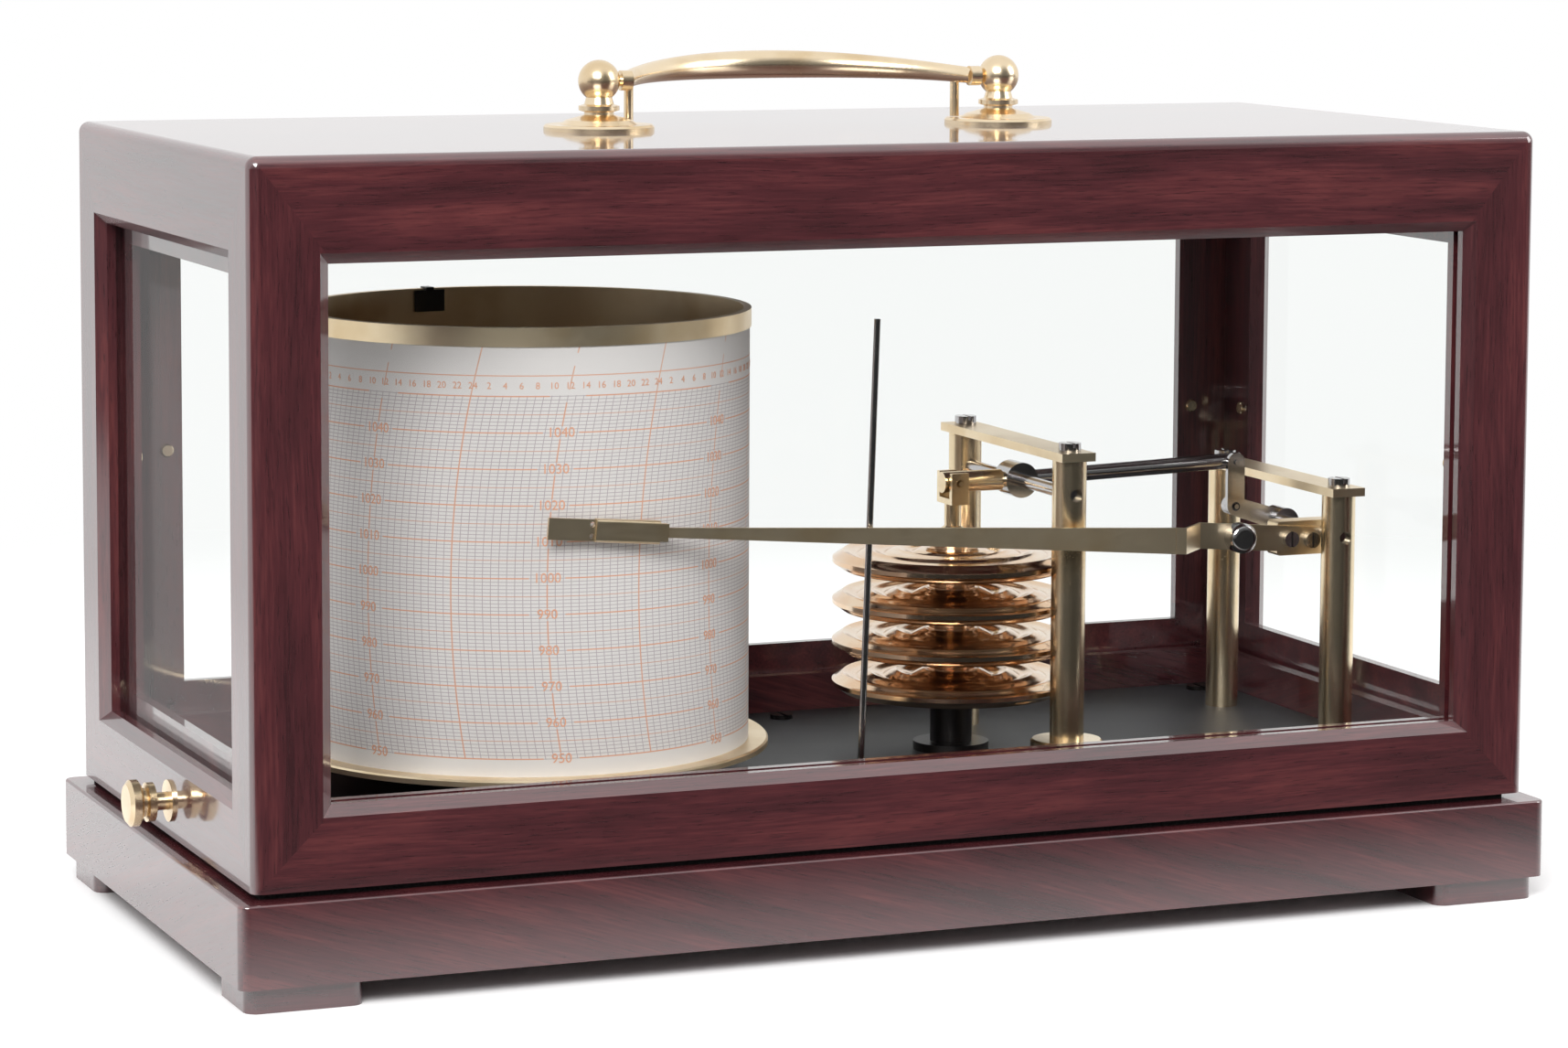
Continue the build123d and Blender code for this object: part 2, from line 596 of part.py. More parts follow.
def bail():
    """Carrying bail: an arc that swells at the grip, with a knuckle, a pin and a stop leg at each end."""
    knuckle_end = HANDLE_SPACING / 2 - PILLAR_BALL_RADIUS - BAIL_END_GAP
    half = knuckle_end - BAIL_KNUCKLE_LENGTH * 0.6
    radius = (half ** 2 + BAIL_SAGITTA ** 2) / (2 * BAIL_SAGITTA)
    span = math.asin(half / radius)
    sections = []
    steps = 8
    for index in range(steps + 1):
        share = 2 * index / steps - 1
        angle = share * span
        centre = Vector(radius * math.sin(angle), radius * math.cos(angle) - radius + BAIL_SAGITTA, 0)
        tangent = Vector(math.cos(angle), -math.sin(angle), 0)
        thick = BAIL_END_RADIUS + (BAIL_GRIP_RADIUS - BAIL_END_RADIUS) * math.cos(share * math.pi / 2) ** 1.5
        sections.append(Plane(origin=centre, x_dir=(0, 0, 1), z_dir=tangent) * Circle(thick))
    grip = Pos(0, 0, BALL_Z) * Rot(BAIL_TILT, 0, 0) * loft(sections)
    leg_x = HANDLE_SPACING / 2 - BAIL_LEG_INSET
    for side in (-1, 1):
        low, high = sorted((side * (knuckle_end - BAIL_KNUCKLE_LENGTH), side * knuckle_end))
        grip += along_x(low, high, 0, BALL_Z, BAIL_KNUCKLE_RADIUS)
        low, high = sorted((side * half, side * (HANDLE_SPACING / 2 - PILLAR_BALL_RADIUS * 0.4)))
        grip += along_x(low, high, 0, BALL_Z, BAIL_PIN_RADIUS)
        grip += upright(side * leg_x, BAIL_LEG_REACH, CASE_TOP + ROSE_THICKNESS + 0.2, BALL_Z, BAIL_LEG_RADIUS)
    return grip


def drum_shell():
    """Open drum: wall, top band and bottom plate with its flange, bored for spindle and pinion."""
    inner = DRUM_RADIUS - DRUM_WALL
    plate_top = DRUM_BOTTOM + DRUM_FLANGE_THICKNESS
    bore = SPINDLE_RADIUS + SPINDLE_CLEARANCE
    band_low = DRUM_TOP - DRUM_BAND_HEIGHT
    profile = [(bore, DRUM_BOTTOM), (DRUM_FLANGE_RADIUS, DRUM_BOTTOM), (DRUM_FLANGE_RADIUS, plate_top - 0.4),
               (DRUM_FLANGE_RADIUS - 0.4, plate_top), (DRUM_RADIUS, plate_top), (DRUM_RADIUS, band_low),
               (DRUM_BAND_RADIUS, band_low), (DRUM_BAND_RADIUS, DRUM_TOP), (inner, DRUM_TOP),
               (inner, plate_top), (bore, plate_top)]
    shell = turned(profile, Pos(DRUM_X, 0, 0))
    shell -= clip_slot()
    clear = (PINION_TEETH / 2 + 1.6) * GEAR_MODULE
    x = DRUM_X + gear_centre_distance()
    return shell - upright(x, 0, DRUM_BOTTOM - 1, plate_top + 1, max(clear, PINION_ARBOR_RADIUS + 0.5))


def clip_place():
    return Pos(DRUM_X, 0, 0) * Rot(0, 0, CLIP_ANGLE)


def clip_slot():
    """Notch in the drum's rim that locates the chart clip."""
    half = CLIP_BAR_WIDTH / 2 + 4 * CLIP_GAP
    return clip_place() * block((DRUM_RADIUS - DRUM_WALL - 2, DRUM_BAND_RADIUS + 1), (-half, half),
                                (DRUM_TOP - 1.6, DRUM_TOP + 1))


def chart_clip():
    """Spring clip: a thin bar down the outside of the chart, bent over the band and into the drum."""
    half = CLIP_BAR_WIDTH / 2
    band_low = DRUM_TOP - DRUM_BAND_HEIGHT
    chart_face = CHART_RADIUS + CLIP_GAP
    band_face = DRUM_BAND_RADIUS + CLIP_GAP
    inner_face = math.sqrt((DRUM_RADIUS - DRUM_WALL) ** 2 - (CLIP_WIDTH / 2) ** 2) - CLIP_GAP
    bar = block((chart_face, chart_face + CLIP_BAR_THICKNESS), (-half, half),
                (DRUM_BOTTOM + DRUM_FLANGE_THICKNESS + CLIP_GAP, band_low - CLIP_GAP))
    step = block((chart_face, band_face + CLIP_THICKNESS), (-half, half),
                 (band_low - CLIP_GAP - CLIP_THICKNESS, band_low - CLIP_GAP))
    riser = block((band_face, band_face + CLIP_THICKNESS), (-half, half),
                  (band_low - CLIP_GAP - CLIP_THICKNESS, DRUM_TOP + 0.3))
    over = block((inner_face - CLIP_THICKNESS, band_face + CLIP_THICKNESS), (-half, half),
                 (DRUM_TOP - 1.5, DRUM_TOP + 0.3))
    tongue = block((inner_face - CLIP_THICKNESS, inner_face), (-CLIP_WIDTH / 2, CLIP_WIDTH / 2),
                   (DRUM_TOP - 5.5, DRUM_TOP - 0.4))
    return clip_place() * (bar + step + riser + over + tongue)


def chart_paper():
    """Paper chart wrapped round the drum between its flange and its band."""
    low = DRUM_BOTTOM + DRUM_FLANGE_THICKNESS
    high = DRUM_TOP - DRUM_BAND_HEIGHT
    sheet = upright(DRUM_X, 0, low, high, CHART_RADIUS)
    return sheet - upright(DRUM_X, 0, low - 1, high + 1, DRUM_RADIUS)


def clock_housing():
    """Closed clock case on the drum's bottom plate, which turns with the drum."""
    low = DRUM_BOTTOM + DRUM_FLANGE_THICKNESS
    high = low + CLOCK_HEIGHT
    bore = SPINDLE_RADIUS + SPINDLE_CLEARANCE
    x = gear_centre_distance()
    profile = [(bore, low), (CLOCK_RADIUS, low), (CLOCK_RADIUS, high - 1.5), (CLOCK_RADIUS - 1.5, high), (8.0, high),
               (7.0, high + 2.5), (bore, high + 2.5)]
    housing = turned(profile, Pos(DRUM_X, 0, 0))
    housing += upright(DRUM_X - 18, 0, high - 1, high + 3, 3.0)
    well = upright(DRUM_X + x, 0, low - 1, low + PINION_ARBOR_LENGTH, PINION_ARBOR_RADIUS + PIVOT_CLEARANCE)
    return housing - well


def drum_spindle():
    """Fixed spindle with its foot, on which the drum turns."""
    top = DRUM_TOP - 7.0
    foot = FLOOR_TOP + SPINDLE_FLANGE_THICKNESS
    profile = [(0, FLOOR_TOP), (SPINDLE_FLANGE_RADIUS, FLOOR_TOP), (SPINDLE_FLANGE_RADIUS, foot),
               (SPINDLE_RADIUS + 2.5, foot), (SPINDLE_RADIUS + 2.5, GEAR_BOTTOM), (SPINDLE_RADIUS, GEAR_BOTTOM),
               (SPINDLE_RADIUS, top), (0, top)]
    return turned(profile, Pos(DRUM_X, 0, 0))


def drum_nut():
    """Thumb nut with a coned top, on the end of the spindle."""
    low = DRUM_BOTTOM + DRUM_FLANGE_THICKNESS + CLOCK_HEIGHT + 2.5 + 0.3
    top = DRUM_TOP - 5.0
    shoulder = top - DRUM_NUT_HEIGHT
    profile = [(SPINDLE_RADIUS, low), (SPINDLE_RADIUS + 2, low), (SPINDLE_RADIUS + 2, shoulder - 2),
               (DRUM_NUT_RADIUS, shoulder),
               (DRUM_NUT_RADIUS, shoulder + 4.5), (DRUM_NUT_RADIUS - 1.2, shoulder + 5.5), (1.0, top), (0, top),
               (0, DRUM_TOP - 7.0), (SPINDLE_RADIUS, DRUM_TOP - 7.0)]
    return turned(profile, Pos(DRUM_X, 0, 0))


def gear_centre_distance():
    return (GEAR_TEETH + PINION_TEETH) / 2 * GEAR_MODULE


def toothed_wheel(teeth, phase, thickness):
    """Spur wheel about its own Z axis. The teeth have straight flanks and are thinned by the backlash."""
    pitch_radius = teeth * GEAR_MODULE / 2
    tip = pitch_radius + GEAR_MODULE * 0.9
    root = pitch_radius - GEAR_MODULE * 1.15
    pitch_angle = 2 * math.pi / teeth
    half_pitch = pitch_angle / 4 - GEAR_BACKLASH / (2 * pitch_radius)
    half_tip = half_pitch * 0.5
    half_root = half_pitch * 1.45
    points = []
    for tooth in range(teeth):
        middle = phase + tooth * pitch_angle
        for radius, offset in ((root, -half_root), (tip, -half_tip), (tip, half_tip), (root, half_root)):
            points.append((radius * math.cos(middle + offset), radius * math.sin(middle + offset)))
    return prism_z(points, 0, thickness)


def fixed_gear():
    """Gear held on the spindle. A tooth points to the pinion."""
    wheel = Pos(DRUM_X, 0, GEAR_BOTTOM) * toothed_wheel(GEAR_TEETH, 0, GEAR_THICKNESS)
    return wheel - upright(DRUM_X, 0, GEAR_BOTTOM - 1, GEAR_BOTTOM + GEAR_THICKNESS + 1, SPINDLE_RADIUS)


def clock_pinion():
    """Clock's output pinion on its arbor, in mesh with the fixed gear."""
    x = DRUM_X + gear_centre_distance()
    half_tooth = math.pi / PINION_TEETH
    wheel = Pos(x, 0, GEAR_BOTTOM) * toothed_wheel(PINION_TEETH, math.pi + half_tooth, GEAR_THICKNESS)
    top = DRUM_BOTTOM + DRUM_FLANGE_THICKNESS + PINION_ARBOR_LENGTH - 0.4
    return wheel + upright(x, 0, GEAR_BOTTOM, top, PINION_ARBOR_RADIUS)


def post(x, y, top, axis_z):
    """Turned post with a level bore for its pivot screw."""
    body = upright(x, y, FLOOR_TOP, top, POST_RADIUS)
    body -= along_y(x, y - POST_RADIUS - 1, y + POST_RADIUS + 1, axis_z, PIVOT_SCREW_RADIUS + 0.02)
    return body - upright(x, y, top - BRIDGE_SCREW_LENGTH, top + 1, BRIDGE_SCREW_SHANK)


def lever_posts():
    top = LEVER_BRIDGE_TOP - BRIDGE_THICKNESS
    return group(post(LEVER_POST_X, y, top, LEVER_AXIS_Z) for y in (POST_FRONT_Y, POST_REAR_Y))


def pen_posts():
    top = PEN_BRIDGE_TOP - BRIDGE_THICKNESS
    return group(post(PEN_POST_X, y, top, PEN_AXIS_Z) for y in (POST_FRONT_Y, POST_REAR_Y))


def post_collar():
    """Raised collar round the foot of the front lever post."""
    low = FLOOR_TOP
    high = low + COLLAR_RAISE
    profile = [(POST_RADIUS, low), (POST_RADIUS + 2.2, low), (POST_RADIUS + 2.2, high), (COLLAR_RADIUS, high),
               (COLLAR_RADIUS, high + COLLAR_THICKNESS - 0.5), (COLLAR_RADIUS - 0.5, high + COLLAR_THICKNESS),
               (POST_RADIUS, high + COLLAR_THICKNESS)]
    return turned(profile, Pos(LEVER_POST_X, POST_FRONT_Y, 0))


def bridge(x, top):
    """Flat bar across the tops of two posts."""
    bar = block((x - BRIDGE_WIDTH / 2, x + BRIDGE_WIDTH / 2), (POST_FRONT_Y - BRIDGE_END, POST_REAR_Y + BRIDGE_END),
                (top - BRIDGE_THICKNESS, top))
    for y in (POST_FRONT_Y, POST_REAR_Y):
        bar -= upright(x, y, top - BRIDGE_THICKNESS - 1, top + 1, BRIDGE_SCREW_SHANK)
    return bar


def bridge_screws():
    """Cheese-head screws that hold the bridges on their posts."""
    solids = []
    for x, top in ((LEVER_POST_X, LEVER_BRIDGE_TOP), (PEN_POST_X, PEN_BRIDGE_TOP)):
        for y in (POST_FRONT_Y, POST_REAR_Y):
            head = slotted_head(x, y, top, top + BRIDGE_SCREW_HEAD, BRIDGE_SCREW_RADIUS)
            foot = top - BRIDGE_THICKNESS - BRIDGE_SCREW_LENGTH
            solids.append(head + upright(x, y, foot, top, BRIDGE_SCREW_SHANK))
    return group(solids)


def pivot_screws():
    """Bearing screws in the posts. Each holds the pin of a cross shaft in a blind bore."""
    solids = []
    for x, z in ((LEVER_POST_X, LEVER_AXIS_Z), (PEN_POST_X, PEN_AXIS_Z)):
        for y, inward in ((POST_FRONT_Y, 1), (POST_REAR_Y, -1)):
            outer = y - inward * (POST_RADIUS - PIVOT_SCREW_RECESS)
            inner = y + inward * (POST_RADIUS + PIVOT_SCREW_PROUD)
            low, high = sorted((outer, inner))
            screw = along_y(x, low, high, z, PIVOT_SCREW_RADIUS)
            low, high = sorted((inner - inward * (PIVOT_PIN_LENGTH + 0.3), inner + inward))
            solids.append(screw - along_y(x, low, high, z, PIVOT_PIN_RADIUS + PIVOT_CLEARANCE))
    return group(solids)


def cross_shaft(x, z, radius):
    """Shaft between the pivot screws of two posts, with a pin at each end."""
    low = POST_FRONT_Y + POST_RADIUS + PIVOT_SCREW_PROUD
    high = POST_REAR_Y - POST_RADIUS - PIVOT_SCREW_PROUD
    shaft = along_y(x, low + SHAFT_END_GAP, high - SHAFT_END_GAP, z, radius)
    return shaft + along_y(x, low - PIVOT_PIN_LENGTH, high + PIVOT_PIN_LENGTH, z, PIVOT_PIN_RADIUS)


def capsule(index):
    """Corrugated capsule: two waved discs joined at the rim, with a hub above and below."""
    middle = CAPSULE_RIM_TOP - CAPSULE_PITCH * index
    rim = CAPSULE_RIM_THICKNESS / 2
    hub_half = CAPSULE_PITCH / 2
    inner = CAPSULE_HUB_RADIUS + 1.0
    outer = CAPSULE_RADIUS - 2.5
    count = 2 * CAPSULE_WAVES
    waves = []
    for step in range(count + 1):
        share = step / count
        radius = inner + (outer - inner) * share
        height = CAPSULE_HALF_DEPTH - (CAPSULE_HALF_DEPTH - rim) * share * 0.35
        waves.append((radius, height - (CAPSULE_WAVE_HEIGHT if step % 2 else 0)))
    hub = [(CAPSULE_HUB_RADIUS, hub_half), (CAPSULE_HUB_RADIUS, CAPSULE_HALF_DEPTH)]
    upper = hub + waves + [(CAPSULE_RADIUS, rim)]
    lower = [(radius, -height) for radius, height in reversed(upper)]
    return turned([(0, -hub_half), (0, hub_half)] + upper + lower, Pos(CAPSULE_X, CAPSULE_Y, middle))


def capsule_stack_top():
    return CAPSULE_RIM_TOP + CAPSULE_PITCH / 2


def capsule_stack_bottom():
    return CAPSULE_RIM_TOP - CAPSULE_PITCH * (CAPSULE_COUNT - 0.5)


def capsule_pedestal():
    """Dark stem that carries the capsules."""
    foot = FLOOR_TOP + PEDESTAL_FOOT_THICKNESS
    top = capsule_stack_bottom()
    profile = [(0, FLOOR_TOP), (PEDESTAL_FOOT_RADIUS, FLOOR_TOP), (PEDESTAL_FOOT_RADIUS, foot),
               (PEDESTAL_RADIUS, foot), (PEDESTAL_RADIUS, top), (0, top)]
    return turned(profile, Pos(CAPSULE_X, CAPSULE_Y, 0))


def capsule_head():
    """Boss on the top capsule, with the stem and fork that take the lever's pin."""
    low = capsule_stack_top() + 0.05
    axis = LEVER_AXIS_Z
    crotch = axis - LEVER_SLEEVE_RADIUS - 1.2
    profile = [(0, low), (CAPSULE_HUB_RADIUS + 1.5, low), (CAPSULE_HUB_RADIUS + 1.5, low + 1.2), (3.2, low + 2.2),
               (2.0, low + 3.2), (2.0, crotch), (0, crotch)]
    head = turned(profile, Pos(CAPSULE_X, CAPSULE_Y, 0))
    inner = LEVER_SLEEVE_RADIUS + FORK_GAP
    outer = inner + FORK_CHEEK
    head += block((CAPSULE_X - 2.2, CAPSULE_X + 2.2), (CAPSULE_Y - outer, CAPSULE_Y + outer), (crotch - 1.4, crotch))
    for side in (-1, 1):
        low_y, high_y = sorted((CAPSULE_Y + side * inner, CAPSULE_Y + side * outer))
        head += block((CAPSULE_X - 2.2, CAPSULE_X + 2.2), (low_y, high_y), (crotch - 1.4, axis + 2.4))
    return head - along_y(CAPSULE_X, CAPSULE_Y - outer - 1, CAPSULE_Y + outer + 1, axis, LINK_PIN_RADIUS + FORK_GAP)


def lever_line(x):
    """Height of the lever's middle line, which rises a little to the right."""
    return LEVER_AXIS_Z + max(0.0, x - LEVER_POST_X) / LEVER_RIGHT_ARM * LEVER_RISE


def lever_end_x():
    return LEVER_POST_X + LEVER_RIGHT_ARM


def lever_rod_solid(radius, x_low, x_high):
    """Round bar along the lever's right arm."""
    angle = math.degrees(math.atan2(LEVER_RISE, LEVER_RIGHT_ARM))
    return Pos(LEVER_POST_X, CAPSULE_Y, LEVER_AXIS_Z) * Rot(0, -angle, 0) * Pos(-LEVER_POST_X, 0, 0) * along_x(
        x_low, x_high, 0, 0, radius)


def lever_shaft():
    """Cross shaft of the first lever, with the hub that the rod passes through."""
    half = LEVER_HUB_LENGTH / 2
    shaft = cross_shaft(LEVER_POST_X, LEVER_AXIS_Z, LEVER_SHAFT_RADIUS)
    shaft += along_y(LEVER_POST_X, CAPSULE_Y - half, CAPSULE_Y + half, LEVER_AXIS_Z, LEVER_HUB_RADIUS)
    reach = LEVER_HUB_RADIUS + 1
    return shaft - lever_rod_solid(LEVER_ROD_RADIUS + 0.02, LEVER_POST_X - reach, LEVER_POST_X + reach)


def lever_rod():
    """Long steel rod of the first lever, with the pin for the link at its right end."""
    end = lever_end_x()
    rod = lever_rod_solid(LEVER_ROD_RADIUS, LEVER_POST_X - LEVER_HUB_RADIUS * 0.8, end + LEVER_END_EXTRA)
    front = link_front_y()
    return rod + along_y(end, front - 0.5, CAPSULE_Y, lever_line(end), LINK_PIN_RADIUS)


def lever_sleeve():
    """Brass sleeve of the lever's short arm, with the cross pin that sits in the capsule fork."""
    sleeve = along_x(CAPSULE_X - 3.0, LEVER_POST_X - LEVER_HUB_RADIUS, CAPSULE_Y, LEVER_AXIS_Z, LEVER_SLEEVE_RADIUS)
    reach = LEVER_SLEEVE_RADIUS + FORK_GAP + FORK_CHEEK + 0.6
    return sleeve + along_y(CAPSULE_X, CAPSULE_Y - reach, CAPSULE_Y + reach, LEVER_AXIS_Z, LINK_PIN_RADIUS)


def link_front_y():
    return CAPSULE_Y - LEVER_ROD_RADIUS - 0.3 - LINK_THICKNESS


def crank_pin():
    return PEN_POST_X - CRANK_REACH, PEN_AXIS_Z + CRANK_RISE


def link_plate():
    """Flat link between the lever's end and the crank. Its lower hole is the wide one."""
    front = link_front_y()
    top_x, top_z = lever_end_x(), lever_line(lever_end_x())
    low_x, low_z = crank_pin()
    back = front + LINK_THICKNESS
    radius = LINK_WIDTH / 2
    outline = [(low_x - radius, low_z), (low_x + radius, low_z), (top_x + radius, top_z), (top_x - radius, top_z)]
    plate = prism_y(outline, front, back)
    plate += along_y(top_x, front, back, top_z, radius) + along_y(low_x, front, back, low_z, radius)
    plate -= along_y(top_x, front - 1, back + 1, top_z, LINK_PIN_RADIUS + LINK_TOP_CLEARANCE)
    return plate - along_y(low_x, front - 1, back + 1, low_z, LINK_PIN_RADIUS + LINK_FOOT_CLEARANCE)


def pen_crank():
    """Steel crank clamped on the pen shaft, with a pin for the link."""
    back_y = link_front_y() + LINK_THICKNESS + 0.3
    low, high = back_y, back_y + CRANK_THICKNESS
    pin_x, pin_z = crank_pin()
    hub = 3.4
    angle = math.atan2(CRANK_RISE, CRANK_REACH)
    up = Vector(math.sin(angle), 0, math.cos(angle))
    root, tip = 2.6, CRANK_WIDTH / 2
    outline = [(PEN_POST_X - up.X * root, PEN_AXIS_Z - up.Z * root),
               (PEN_POST_X + up.X * root, PEN_AXIS_Z + up.Z * root),
               (pin_x + up.X * tip, pin_z + up.Z * tip), (pin_x - up.X * tip, pin_z - up.Z * tip)]
    arm = prism_y(outline, low, high)
    arm += along_y(pin_x, low, high, pin_z, tip)
    arm += along_y(PEN_POST_X, low - 1.5, high + 3.0, PEN_AXIS_Z, hub)
    arm += along_y(pin_x, link_front_y() - 0.5, high, pin_z, LINK_PIN_RADIUS)
    return arm - along_y(PEN_POST_X, low - 3, high + 4, PEN_AXIS_Z, PEN_SHAFT_RADIUS)


def arm_line(x):
    """Height of the pen arm's middle line."""
    return PEN_AXIS_Z - ARM_AXIS_DROP + (PEN_POST_X - x) * ARM_SLOPE


def arm_height(x):
    """Height of the strip, which tapers from its crank to the pen."""
    holder = holder_right_x()
    share = min(1.0, max(0.0, (x - holder) / (ARM_SPLIT_X - holder)))
    return ARM_TIP_HEIGHT + (ARM_ROOT_HEIGHT - ARM_TIP_HEIGHT) * share


def holder_right_x():
    return PEN_X + HOLDER_LENGTH + 1.5


def pen_plane_y():
    """Back face of the pen holder, just clear of the chart."""
    return -(CHART_RADIUS + PEN_CLEARANCE)


def strip_side(x_low, x_high):
    """Side view of a stretch of the strip."""
    ends = []
    for x in (x_low, x_high):
        half = arm_height(x) / 2
        ends.append(((x, arm_line(x) - half), (x, arm_line(x) + half)))
    return prism_y([ends[0][0], ends[1][0], ends[1][1], ends[0][1]], -CASE_DEPTH / 2, 0)


def pen_arm_root():
    """Springy end of the strip: screwed to its bracket and cranked forward."""
    thick = ARM_THICKNESS / 2
    right = PEN_POST_X + 2.0
    jog_end = ARM_SPLIT_X + 3.0
    slope_y = (ARM_SPLIT_Y - pen_plane_y() + HOLDER_THICKNESS / 2) / (ARM_SPLIT_X - holder_right_x())
    jog_y = ARM_SPLIT_Y + slope_y * (jog_end - ARM_SPLIT_X)
    left = ARM_SPLIT_X + ARM_SPLIT_GAP / 2
    middle = [(right, ARM_ROOT_Y), (ARM_JOG_START_X, ARM_ROOT_Y), (jog_end, jog_y), (left, ARM_SPLIT_Y)]
    upper = [(x, y + thick) for x, y in middle]
    lower = [(x, y - thick) for x, y in reversed(middle)]
    strip = prism_z(upper + lower, 0, CASE_HEIGHT) & strip_side(left, right)
    for x in screw_spots():
        strip -= along_y(x, ARM_ROOT_Y - 2, ARM_ROOT_Y + 2, arm_line(x), 0.9)
    strip -= along_y(PEN_POST_X, ARM_ROOT_Y - 2, ARM_ROOT_Y + 2, PEN_AXIS_Z, PEN_SHAFT_RADIUS + 0.02)
    return strip - along_y(THUMB_SCREW_X, ARM_ROOT_Y - 2, ARM_ROOT_Y + 2, arm_line(THUMB_SCREW_X), 1.0)


def pen_arm():
    """Long tapered strip that carries the pen."""
    thick = ARM_THICKNESS / 2
    right, left = ARM_SPLIT_X - ARM_SPLIT_GAP / 2, holder_right_x()
    end_y = pen_plane_y() - HOLDER_THICKNESS / 2
    left += HOLDER_SEAT_GAP
    plan = [(right, ARM_SPLIT_Y + thick), (left, end_y + thick), (left, end_y - thick), (right, ARM_SPLIT_Y - thick)]
    return prism_z(plan, 0, CASE_HEIGHT) & strip_side(left, right)


def pen_holder():
    """Sleeve on the end of the arm, with its collar, tip plate and felt nib."""
    back = pen_plane_y()
    front = back - HOLDER_THICKNESS
    right = holder_right_x()
    middle_x = right - HOLDER_COLLAR
    left_x = PEN_X - 0.5
    tip_x = left_x - TIP_PLATE_LENGTH
    tilt = math.degrees(math.atan(ARM_SLOPE))
    centre_z = arm_line(PEN_X)
    body = block((left_x, middle_x), (front, back), (-HOLDER_HEIGHT / 2, HOLDER_HEIGHT / 2))
    body = fillet(body.edges().filter_by(Axis.X), 0.7)
    collar = block((middle_x, right), (front + 0.2, back - 0.2), (-HOLDER_HEIGHT * 0.38, HOLDER_HEIGHT * 0.38))
    plate = block((tip_x, left_x), (front + 0.6, front + 1.4), (-HOLDER_HEIGHT / 2 + 0.2, HOLDER_HEIGHT / 2 - 0.2))
    for side in (-1, 1):
        plate -= along_y(left_x - 0.8, front - 1, back + 1, side * HOLDER_HEIGHT / 4, 0.6)
    whole = Pos(PEN_X, 0, centre_z) * Rot(0, tilt, 0) * Pos(-PEN_X, 0, 0) * (body + collar + plate)
    nib = along_y(PEN_X, back - 0.5, back + PEN_CLEARANCE - NIB_CLEARANCE, centre_z, NIB_RADIUS)
    return whole + nib


def arm_bracket():
    """Brass block clamped on the pen shaft, which the strip is screwed to."""
    front = ARM_ROOT_Y + ARM_THICKNESS / 2
    back = front + 5.0
    low, high = PEN_AXIS_Z - 5.2, PEN_AXIS_Z + 3.0
    left = screw_spots()[0] - ARM_SCREW_RADIUS - 1.0
    body = block((left, PEN_POST_X + 3.5), (front, back), (low, high))
    body = fillet(body.edges().filter_by(Axis.Y), 0.8)
    return body - along_y(PEN_POST_X, front - 1, back + 1, PEN_AXIS_Z, PEN_SHAFT_RADIUS)


def screw_spots():
    """Places of the two screws through the strip, left of the pen shaft."""
    right = PEN_POST_X - PEN_SHAFT_RADIUS - ARM_SCREW_RADIUS - 0.3
    return right - ARM_SCREW_SPACING, right


def arm_screws():
    """Two cheese-head screws with slots, through the strip into the bracket."""
    front = ARM_ROOT_Y - ARM_THICKNESS / 2
    solids = []
    for x in screw_spots():
        z = arm_line(x)
        head = along_y(x, front - ARM_SCREW_HEAD, front, z, ARM_SCREW_RADIUS)
        head -= block((x - 0.25, x + 0.25), (front - ARM_SCREW_HEAD - 1, front - ARM_SCREW_HEAD / 2), (z - 3, z + 3))
        solids.append(head + along_y(x, front, ARM_ROOT_Y + ARM_THICKNESS / 2, z, 0.85))
    return group(solids)


def thumb_screw():
    """Polished thumb screw through the strip, with its washer behind."""
    z = arm_line(THUMB_SCREW_X)
    front = ARM_ROOT_Y - ARM_THICKNESS / 2
    back = ARM_ROOT_Y + ARM_THICKNESS / 2
    washer = ARM_THICKNESS + 0.3
    profile = [(0, -0.2), (0.95, -0.2), (0.95, washer), (2.2, washer), (2.2, washer + 1.2), (0, washer + 1.2)]
    shank = turned(profile, Pos(THUMB_SCREW_X, front, z) * Rot(-90, 0, 0))
    head = along_y(THUMB_SCREW_X, front - THUMB_SCREW_HEAD, front, z, THUMB_SCREW_RADIUS)
    head = fillet(head.edges().sort_by(Axis.Y)[0], 1.4)
    return head + shank


def lifter_axis_z():
    return FLOOR_TOP + LIFTER_AXIS_RAISE


def lifter_rod():
    """Slim rod on a cross hub. Pushed forward, it lifts the pen off the chart."""
    axis = lifter_axis_z()
    half = LIFTER_HUB_LENGTH / 2
    foot = Pos(LIFTER_X, LIFTER_Y, axis) * Rot(0, LIFTER_LEAN, 0)
    rod = foot * (Pos(0, 0, LIFTER_LENGTH / 2 + 1.0) * Cylinder(LIFTER_RADIUS, LIFTER_LENGTH - 2.0))
    hub = along_x(LIFTER_X - half, LIFTER_X + half, LIFTER_Y, axis, LIFTER_HUB_RADIUS)
    bore = along_x(LIFTER_X - half - 1, LIFTER_X + half + 1, LIFTER_Y, axis, LIFTER_PIN_RADIUS + LIFTER_PIN_CLEARANCE)
    return rod - bore + (hub - bore)


def lifter_bracket():
    """Forked bracket on the floor plate, with the pin that the lifter turns on."""
    axis = lifter_axis_z()
    inner = LIFTER_HUB_LENGTH / 2 + 0.3
    outer = inner + 1.6
    bracket = block((LIFTER_X - outer, LIFTER_X + outer), (LIFTER_Y - 4, LIFTER_Y + 4), (FLOOR_TOP, FLOOR_TOP + 1.6))
    for side in (-1, 1):
        low, high = sorted((LIFTER_X + side * inner, LIFTER_X + side * outer))
        ear = block((low, high), (LIFTER_Y - 2.6, LIFTER_Y + 2.6), (FLOOR_TOP + 1.6, axis))
        bracket += ear + along_x(low, high, LIFTER_Y, axis, 2.6)
    return bracket + along_x(LIFTER_X - outer, LIFTER_X + outer, LIFTER_Y, axis, LIFTER_PIN_RADIUS)


